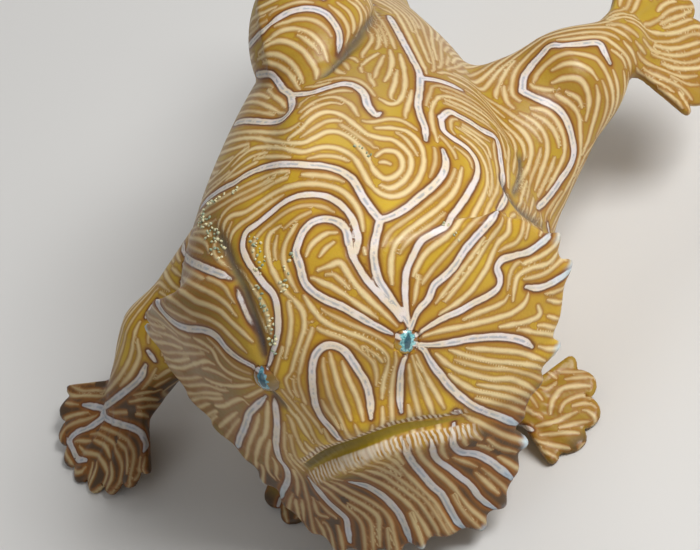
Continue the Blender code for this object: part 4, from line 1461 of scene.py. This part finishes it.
def broad_lines(s, base, dusk_and_painted_shade, edge):
    """White lines with a greyish dotted middle and rust borders, over a base colour."""
    weight = s.attribute("broad_weight")
    scale = s.attribute("eye_scale")
    broad = line_distance(s, "broad") + (s.noise(700.0, 2.0) - 0.5) * 0.22
    beyond = broad - s.attribute("broad_half") * scale
    white = 1.0 - beyond.rising(-0.10, 0.09)
    colour = s.mix((1.0 - beyond.rising(0.15, 0.85)) * 0.75, base, ORANGE)
    border = 1.0 - beyond.rising(0.08, 0.40)
    colour = s.mix(border * 0.85, colour, RUST)
    pale = s.mix(s.noise(420.0, 2.0).rising(0.35, 0.65) * 0.5, PINKISH_WHITE, CREAM)
    pale = s.mix(edge * 0.7, pale, BLUISH_WHITE)
    speck = (1.0 - (broad / scale).rising(0.02, 0.26)) * s.noise(1100.0, 2.0).rising(0.38, 0.58)
    pale = s.mix(speck * weight.rising(0.65, 0.95) * 0.6, pale, SLATE)
    # Painted shade and the skin's own duskier tone grey the white lines.
    pale = s.mix(dusk_and_painted_shade * 0.45, pale, SLATE)
    return s.mix(white, colour, pale), white, border, beyond


def fine_lines(s, base, dusk_and_painted_shade, beyond):
    """Finer cream lines with orange-brown sides, kept off the broad ones."""
    weight = s.attribute("fine_weight")
    fine = line_distance(s, "fine") + (s.noise(800.0, 2.0) - 0.5) * 0.18
    beyond_fine = fine - s.attribute("fine_half") * s.attribute("fineness")
    clear = beyond.rising(0.0, 0.25)
    cream = (1.0 - beyond_fine.rising(-0.26, 0.20)) * clear
    beside = (1.0 - beyond_fine.rising(0.08, 0.48)) * clear
    colour = s.mix(beside * 0.7, base, ORANGE)
    strength = (0.72 + 1.1 * weight) * (0.6 + 0.7 * s.noise(160.0, 2.0))
    # Painted shade and the skin's own duskier tone darken the cream lines.
    pale = s.mix(dusk_and_painted_shade * 0.4, CREAM, UMBER)
    return s.mix(cream * strength.rising(0.0, 1.2), colour, pale), cream


def lips(s, colour):
    """The shut mouth: a mustard band with painted shade on its upper left, between two rows of fine ticks,
    with a lower lip that is pale from its ticks and a painted highlight.
    """
    lip, across = s.attribute("lip"), s.attribute("lip_across")
    in_mouth = 1.0 - abs(across).rising(9.6, 11.2)
    uneven = (s.noise(420.0, 3.0) - 0.5) * 1.1
    ticks = s.maths("SINE", (across + uneven) * 11.0).rising(-0.5, 0.6)
    upper = lip.rising(0.85, 1.05) * (1.0 - (lip + uneven * 1.2).rising(1.5, 2.1)) * in_mouth
    colour = s.mix(upper * 0.75, colour, s.mix(ticks, RUST, LIP_WHITE))
    lower = (1.0 - lip.rising(-1.1, -0.9)) * (lip + uneven * 1.6).rising(-3.3, -2.0) * in_mouth
    # A painted highlight on the lower lip.
    pale = (1.0 - abs(across + 2.5).rising(1.5, 5.5)) * s.noise(600.0, 2.0).rising(0.3, 0.6) * 0.8
    colour = s.mix(lower * 0.8, colour, s.mix(ticks * (1.0 - pale) + pale, OCHRE, LIP_WHITE))
    taper = (across + 3.0) * (across + 3.0) * 0.006
    band = (1.0 - (abs(lip + 0.05) + taper).rising(0.92, 1.06)) * in_mouth
    # The band's floor: painted shade in olive on its upper part towards the left, mustard to the right and
    # along its lower edge.
    floor = s.mix(across.rising(-8.0, 4.0), OLIVE_PAINTED_SHADE, MUSTARD)
    floor = s.mix(lip.rising(-0.9, -0.1), MUSTARD, floor)
    return s.mix(band, colour, floor)


def skin_shade():
    """Golden skin with broad white lines, rust borders and finer cream lines that run beside them."""
    s = Shade(
        "striped skin",
        Subsurface_Weight=0.05,
        Subsurface_Scale=0.001,
        Coat_Weight=0.12,
        Coat_Roughness=0.22,
        Specular_IOR_Level=0.3,
    )
    dusk_and_painted_shade, edge = s.attribute("dusk_and_painted_shade"), s.attribute("edge")
    patchy = s.noise(110.0, 3.0).rising(0.3, 0.7)
    base = s.mix(patchy * 0.6, GOLD, OCHRE)
    # The skin's own duskier tone and painted shade darken the base colour.
    base = s.mix(dusk_and_painted_shade, base, UMBER)
    under, white, border, beyond = broad_lines(s, base, dusk_and_painted_shade, edge)
    with_fine, cream = fine_lines(s, under, dusk_and_painted_shade, beyond)
    colour = s.mix(white, with_fine, under)
    colour = s.mix(s.attribute("tip") * 0.85, colour, BLUISH_WHITE)
    # Painted shade in the skin's folds.
    colour = s.mix(s.attribute("crease") * 0.75, colour, CREASE_PAINTED_SHADE)
    colour = lips(s, colour)
    height = white * 0.6 + cream * 0.35 - border * 0.3 + (s.noise(2600.0, 2.0) - 0.5) * 0.2
    roughness = 0.42 + (s.noise(1500.0, 2.0) - 0.5) * 0.25
    return s.wear(colour, roughness, height, 0.00018)


# ---- pieces ----


def mesh_of(name, points, faces):
    """A mesh in metres round the finished origin, from points in the fish's millimetres."""
    mesh = bpy.data.meshes.new(name)
    mesh.from_pydata(((points - ORIGIN) * MM).tolist(), [], faces)
    return mesh


def put_in_scene(name, data):
    thing = bpy.data.objects.new(name, data)
    bpy.context.scene.collection.objects.link(thing)
    return thing


def add_attribute(mesh, name, amounts):
    layer = mesh.attributes.new(name, "FLOAT", "POINT")
    layer.data.foreach_set("value", np.asarray(amounts, np.float32))


def add_lines(mesh, surface, kind, runs, halves):
    """Distances to one kind of line, with its weight and half width, as attributes of the mesh."""
    for name, amounts in zip(("side", "near", "weight", "half"), measured(surface, runs, halves)):
        add_attribute(mesh, kind + "_" + name, amounts)


def all_lines(skin):
    """Every line of the skin, read from the picture or made by rule where it doesn't show."""
    lines = Lines(skin)
    for named_lines in (FACE_LINES, CHIN_LINES, BACK_LINES, ARM_LINES):
        lines.from_picture(named_lines)
    body_lines(lines)
    arm_hidden_lines(lines)
    for fan, mirror, every in (
        (RIGHT_HAND, 1.0, 2), (LEFT_HAND, 1.0, 2), (CAUDAL, 1.0, 2), (FOOT, 1.0, 1), (FOOT, -1.0, 1),
    ):
        fan_lines(lines, fan, mirror, every)
    ridge_lines(lines, DORSAL_START, DORSAL_END, 2, 1.0, 12)
    ridge_lines(lines, ANAL_START, ANAL_END, 3, -1.0, 6)
    return lines.runs


def skin_piece():
    skin = Skin(SKIN_CELL)
    seen = skin.seen()
    runs = all_lines(skin)
    broad = merged(skin, [run for run in runs if run[1] >= BROAD_FROM], BROAD_ROOM)
    fine = merged(skin, [run for run in runs if run[1] < BROAD_FROM], FINE_ROOM)
    fine = thinned(fine, broad, FINE_OFF_BROAD)
    spacing = np.where(seen, FINE_SPACING, HIDDEN_SPACING) * eye_scale(skin.points)
    fine += thinned(fine_runs(skin, broad + fine, spacing, FINE_SEED), broad, FINE_OFF_BROAD)
    skin.refine(seen, 1)
    skin.refine((away_from_eyes(skin.points) < EYE_MESH_REACH) & skin.seen(), 1)
    depth, dark = crease_depths(skin)
    skin.points = skin.points - skin.normals * depth[:, None]
    points = skin.points
    seen = skin.seen()
    across, up, forward = face_axes(points)
    reach, turn = face_polar(across, up)
    rise = forward - face_height(across, up)
    inside = face_rim(turn) - reach
    edge = smooth_step(4.0, 0.5, np.abs(inside)) * smooth_step(120.0, 95.0, np.degrees(np.abs(turn)))
    edge = edge * (np.abs(rise) < 4.0)
    tip = smooth_step(0.45, 0.9, fringe_tips(turn)) * smooth_step(1.3, 0.3, np.abs(inside)) * (edge > 0.5)
    lip = np.where(np.abs(rise + 0.5) < 2.2, up - mouth_line(across), 20.0)
    mesh = mesh_of("skin", points, skin.polygons())
    mesh.shade_smooth()
    add_lines(mesh, skin, "broad", broad, line_halves(broad, [], NO_CROWDING))
    add_lines(mesh, skin, "fine", fine, line_halves(fine, broad, FINE_CROWDING))
    by_eye = seen & (away_from_eyes(points) < EYE_MESH_REACH)
    step = np.where(seen, 0.5 * SKIN_CELL, SKIN_CELL) * np.where(by_eye, 0.5, 1.0)
    # The crease attribute holds the painted shade of the folds.
    for name, amounts in (
        ("edge", edge), ("tip", tip), ("crease", dark), ("lip", lip), ("lip_across", across - MOUTH_MIDDLE),
        ("dusk_and_painted_shade", dusk_and_painted_shade_at(points)), ("eye_scale", eye_scale(points)), ("mesh_step", step),
        ("fineness", eye_scale(points) * np.where(seen, 1.0, FINE_HIDDEN)),
    ):
        add_attribute(mesh, name, amounts)
    mesh.materials.append(skin_shade())
    piece = put_in_scene("skin", mesh)
    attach(piece, "root")
    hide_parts(*[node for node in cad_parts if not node.startswith("eye")])
    skin.tree = BVHTree.FromPolygons(points.tolist(), skin.polygons())
    granules_piece(skin)


def strewing(material):
    """Geometry Nodes that strew small lumps on a patch of skin, closest where its crowd attribute is 1."""
    tree = bpy.data.node_groups.new("strewn granules", "GeometryNodeTree")
    sizes = {
        "Least spacing": GRANULE_SPACING * MM,
        "Number per area": GRANULES_PER_SQUARE_MM / MM ** 2,
        "Least size": Vector(GRANULE_LEAST) * MM,
        "Greatest size": Vector(GRANULE_GREATEST) * MM,
    }
    tree.interface.new_socket("Patch", in_out="INPUT", socket_type="NodeSocketGeometry")
    inputs = {}
    for name, amount in sizes.items():
        kind = "NodeSocketFloat" if isinstance(amount, float) else "NodeSocketVector"
        inputs[tree.interface.new_socket(name, in_out="INPUT", socket_type=kind).identifier] = amount
    tree.interface.new_socket("Granules", in_out="OUTPUT", socket_type="NodeSocketGeometry")
    given, crowd, strewn, chance, lump, placed, smooth, solid, coloured, out = (
        tree.nodes.new(kind) for kind in (
            "NodeGroupInput", "GeometryNodeInputNamedAttribute", "GeometryNodeDistributePointsOnFaces",
            "FunctionNodeRandomValue", "GeometryNodeMeshUVSphere", "GeometryNodeInstanceOnPoints",
            "GeometryNodeSetShadeSmooth", "GeometryNodeRealizeInstances", "GeometryNodeSetMaterial",
            "NodeGroupOutput",
        )
    )
    crowd.inputs["Name"].default_value = "crowd"
    strewn.distribute_method = "POISSON"
    strewn.inputs["Seed"].default_value = GRANULE_PLACE_SEED
    chance.data_type = "FLOAT_VECTOR"
    chance.inputs["Seed"].default_value = GRANULE_SIZE_SEED
    lump.inputs["Segments"].default_value = GRANULE_SEGMENTS
    lump.inputs["Rings"].default_value = GRANULE_RINGS
    lump.inputs["Radius"].default_value = 1.0
    coloured.inputs["Material"].default_value = material
    for source, result, target, place in (
        (given, "Patch", strewn, "Mesh"), (given, "Least spacing", strewn, "Distance Min"),
        (given, "Number per area", strewn, "Density Max"), (crowd, "Attribute", strewn, "Density Factor"),
        (given, "Least size", chance, "Min"), (given, "Greatest size", chance, "Max"),
        (strewn, "Points", placed, "Points"), (strewn, "Rotation", placed, "Rotation"),
        (chance, "Value", placed, "Scale"), (lump, "Mesh", smooth, "Geometry"),
        (smooth, "Geometry", placed, "Instance"), (placed, "Instances", solid, "Geometry"),
        (solid, "Geometry", coloured, "Geometry"), (coloured, "Geometry", out, "Granules"),
    ):
        tree.links.new(source.outputs[result], target.inputs[place])
    return tree, inputs


def granules_piece(skin):
    """Pale granules beside the folds of the right cheek and on the crown."""
    middles, wide = [], []
    for reach, *pixels in GRANULE_STRIPS.values():
        places = [place for place in places_seen(skin.tree, pixels, STRIP_PIXELS) if place is not None]
        middles += places
        wide += [reach] * len(places)
    finder = finder_of(middles)
    found = [finder.find(point)[1:] for point in skin.points]
    away = np.array([gap for _, gap in found]) / np.array(wide)[[index for index, _ in found]]
    faces = skin.faces[(away[skin.faces] < 1.0).all(axis=1)]
    used, renumbered = np.unique(faces, return_inverse=True)
    patch = mesh_of("granule patch", skin.points[used], renumbered.reshape(-1, 4).tolist())
    add_attribute(patch, "crowd", smooth_step(1.0, 0.2, away[used]))
    shade = Shade("skin granules", Roughness=0.5)
    shade.wear(shade.mix(shade.noise(900.0, 1.0).rising(0.4, 0.6), GREENISH_GREY, GRANULE_WHITE))
    piece = put_in_scene("skin_granules", patch)
    modifier = piece.modifiers.new("strewn granules", "NODES")
    modifier.node_group, inputs = strewing(shade.material)
    for identifier, amount in inputs.items():
        modifier[identifier] = amount
    made = bpy.data.meshes.new_from_object(piece.evaluated_get(bpy.context.evaluated_depsgraph_get()))
    piece.modifiers.clear()
    piece.data = made
    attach(piece, "root")


def eye_shade(name, wide):
    """A glassy ball: the skin's lines run over it to a ragged turquoise star with a dark upright slit."""
    s = Shade(name, Roughness=0.25, Coat_Weight=0.8, Coat_Roughness=0.12)
    dusk_and_painted_shade = s.attribute("dusk_and_painted_shade")
    # Painted shade darkens the skin colour and lines on the ball.
    under = broad_lines(s, s.mix(dusk_and_painted_shade, s.mix(s.noise(500.0, 2.0), GOLD, OCHRE), UMBER), dusk_and_painted_shade, 0.0)[0]
    x, y, turn = s.attribute("eye_across"), s.attribute("eye_up"), s.attribute("eye_turn")
    ragged = s.maths("SINE", turn * 7.0) * 0.12 + (s.noise(2200.0, 2.0) - 0.5) * 0.6
    reach = s.maths("SQRT", (x / wide) * (x / wide) + (y / STAR_HALF_HEIGHT) * (y / STAR_HALF_HEIGHT))
    star = 1.0 - (reach + ragged).rising(0.85, 1.05)
    blue = s.mix(s.noise(3600.0, 2.0).rising(0.42, 0.58) * 0.8, TURQUOISE, PALE_TURQUOISE)
    blue = s.mix(s.noise(2600.0, 2.0).rising(0.5, 0.62) * 0.6, blue, DEEP_BLUE)
    # Painted shade turns the star a deeper blue.
    colour = s.mix(star, under, s.mix(dusk_and_painted_shade * 0.8, blue, SEA_BLUE))
    slit_x, slit_y = x / SLIT_HALF_WIDTH, y / SLIT_HALF_HEIGHT
    slit = s.maths("SQRT", slit_x * slit_x + slit_y * slit_y)
    colour = s.mix((1.0 - (slit + ragged * 0.5).rising(0.75, 1.15)) * 0.92, colour, DEEP_BLUE)
    return s.wear(colour)


class Ball:
    """An eyeball's mesh: fine rings at the pole that looks out of the socket, coarser ones behind."""

    RINGS, SEGMENTS = 30, 56

    def __init__(self, side):
        self.centre = EYES[side]
        (across, up), reach = EYE_PLACES[side], 0.3
        columns = np.array((across - reach, across + reach, across, across))
        left, right, below, above = face_height(columns, np.array((up, up, up - reach, up + reach)))
        tilt = (right - left) / (2 * reach), (above - below) / (2 * reach)
        outward = unit(face_point(-tilt[0], -tilt[1], 1.0) - FACE_FRONT)
        gaze = unit(outward + self.towards_pixel(STAR_PIXELS[side]))
        slit_up = unit(CAMERA_UP - gaze * (gaze @ CAMERA_UP))
        slit_right = np.cross(slit_up, gaze)
        rings, segments = self.RINGS, self.SEGMENTS
        points, self.turns = [self.centre + gaze * EYE_RADIUS], [0.0]
        for i in range(1, rings):
            polar = math.pi * (i / rings) ** 1.5
            for j in range(segments):
                turn = 2.0 * math.pi * j / segments
                x, y = math.sin(polar) * math.cos(turn), math.sin(polar) * math.sin(turn)
                way = gaze * math.cos(polar) + slit_right * x + slit_up * y
                points.append(self.centre + EYE_RADIUS * way)
                self.turns.append(turn)
        points.append(self.centre - gaze * EYE_RADIUS)
        self.turns.append(0.0)
        self.faces, last = [], len(points) - 1
        for j in range(segments):
            k = (j + 1) % segments
            self.faces.append((0, 1 + j, 1 + k))
            self.faces.append((last, last - segments + k, last - segments + j))
            for i in range(rings - 2):
                a, b = 1 + i * segments, 1 + (i + 1) * segments
                self.faces.append((a + j, b + j, b + k, a + k))
        self.points = np.array(points)
        self.normals = (self.points - self.centre) / EYE_RADIUS
        self.across, self.up = (self.points - self.centre) @ slit_right, (self.points - self.centre) @ slit_up
        self.tree = BVHTree.FromPolygons(self.points.tolist(), self.faces)

    def towards_pixel(self, pixel):
        """The way from the ball's centre to where a ray through the picture meets the ball."""
        ray = ray_of(*pixel)
        off = self.centre - CAMERA_PLACE
        near = off @ ray
        sideways = off @ off - near ** 2
        return unit(ray * (near - math.sqrt(max(EYE_RADIUS ** 2 - sideways, 0.0))) - off)


def eye_piece(name, side):
    ball = Ball(side)
    lines = Lines(ball)
    lines.from_picture({place: line for place, line in FACE_LINES.items() if line[0] >= BROAD_FROM})
    mesh = mesh_of(name, ball.points, ball.faces)
    mesh.shade_smooth()
    halves = [np.full(len(run), line_half(weight)) for run, weight in lines.runs]
    add_lines(mesh, ball, "broad", lines.runs, halves)
    for attribute, amounts in (
        ("eye_across", ball.across), ("eye_up", ball.up), ("eye_turn", ball.turns),
        ("eye_scale", eye_scale(ball.points)), ("mesh_step", np.full(len(ball.points), EYE_MESH_STEP)),
        # The right eyeball gets more painted shade than the skin around it.
        ("dusk_and_painted_shade", np.maximum(dusk_and_painted_shade_at(ball.points), EYEBALL_PAINTED_SHADE[side])),
    ):
        add_attribute(mesh, attribute, amounts)
    mesh.materials.append(eye_shade(name, STAR_HALF_WIDTHS[side]))
    eye = put_in_scene(name + "_glassy", mesh)
    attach(eye, "root")
    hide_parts(name)


# Each light's place and width in metres, and its power in watts.
LIGHTS = {
    "key light": ((0.42, -0.10, 0.48), 0.26, 3.6),
    "fill light": ((-0.40, -0.45, 0.30), 0.40, 0.35),
    "back light": ((0.10, 0.55, 0.45), 0.35, 0.8),
}
LIGHTS_AIM = (0, 0, 0.02)
WORLD_STRENGTH = 0.22


def floor_and_light():
    shade = Shade("pale floor", Roughness=0.9, Base_Color=(0.72, 0.71, 0.69, 1.0))
    mesh = bpy.data.meshes.new("floor")
    mesh.from_pydata([(-3, -3, 0), (3, -3, 0), (3, 3, 0), (-3, 3, 0)], [], [(0, 1, 2, 3)])
    mesh.materials.append(shade.material)
    floor = put_in_scene("floor", mesh)
    for name, (place, size, watts) in LIGHTS.items():
        light = bpy.data.lights.new(name, "AREA")
        light.size, light.energy = size, watts
        lamp = put_in_scene(name, light)
        lamp.location = place
        lamp.rotation_mode = "QUATERNION"
        lamp.rotation_quaternion = (Vector(place) - Vector(LIGHTS_AIM)).to_track_quat("Z", "Y")
    world = bpy.data.worlds.new("studio")
    world.use_nodes = True
    background = world.node_tree.nodes["Background"]
    background.inputs["Color"].default_value = (1.0, 1.0, 1.0, 1.0)
    background.inputs["Strength"].default_value = WORLD_STRENGTH
    bpy.context.scene.world = world
    bpy.context.scene.view_settings.view_transform = "Standard"


def camera():
    data = bpy.data.cameras.new("camera")
    data.sensor_width = SENSOR_WIDTH
    data.lens = FOCAL_PIXELS / PICTURE_WIDTH * SENSOR_WIDTH
    data.clip_start, data.clip_end = 0.01, 10.0
    eye = put_in_scene("camera", data)
    turned = Matrix((CAMERA_RIGHT, CAMERA_UP, -CAMERA_FORWARD)).transposed()
    eye.matrix_world = Matrix.Translation(Vector((CAMERA_PLACE - ORIGIN) * MM)) @ turned.to_4x4()
    bpy.context.scene.camera = eye


camera()
floor_and_light()
skin_piece()
eye_piece("eye_left", 1)
eye_piece("eye_right", -1)
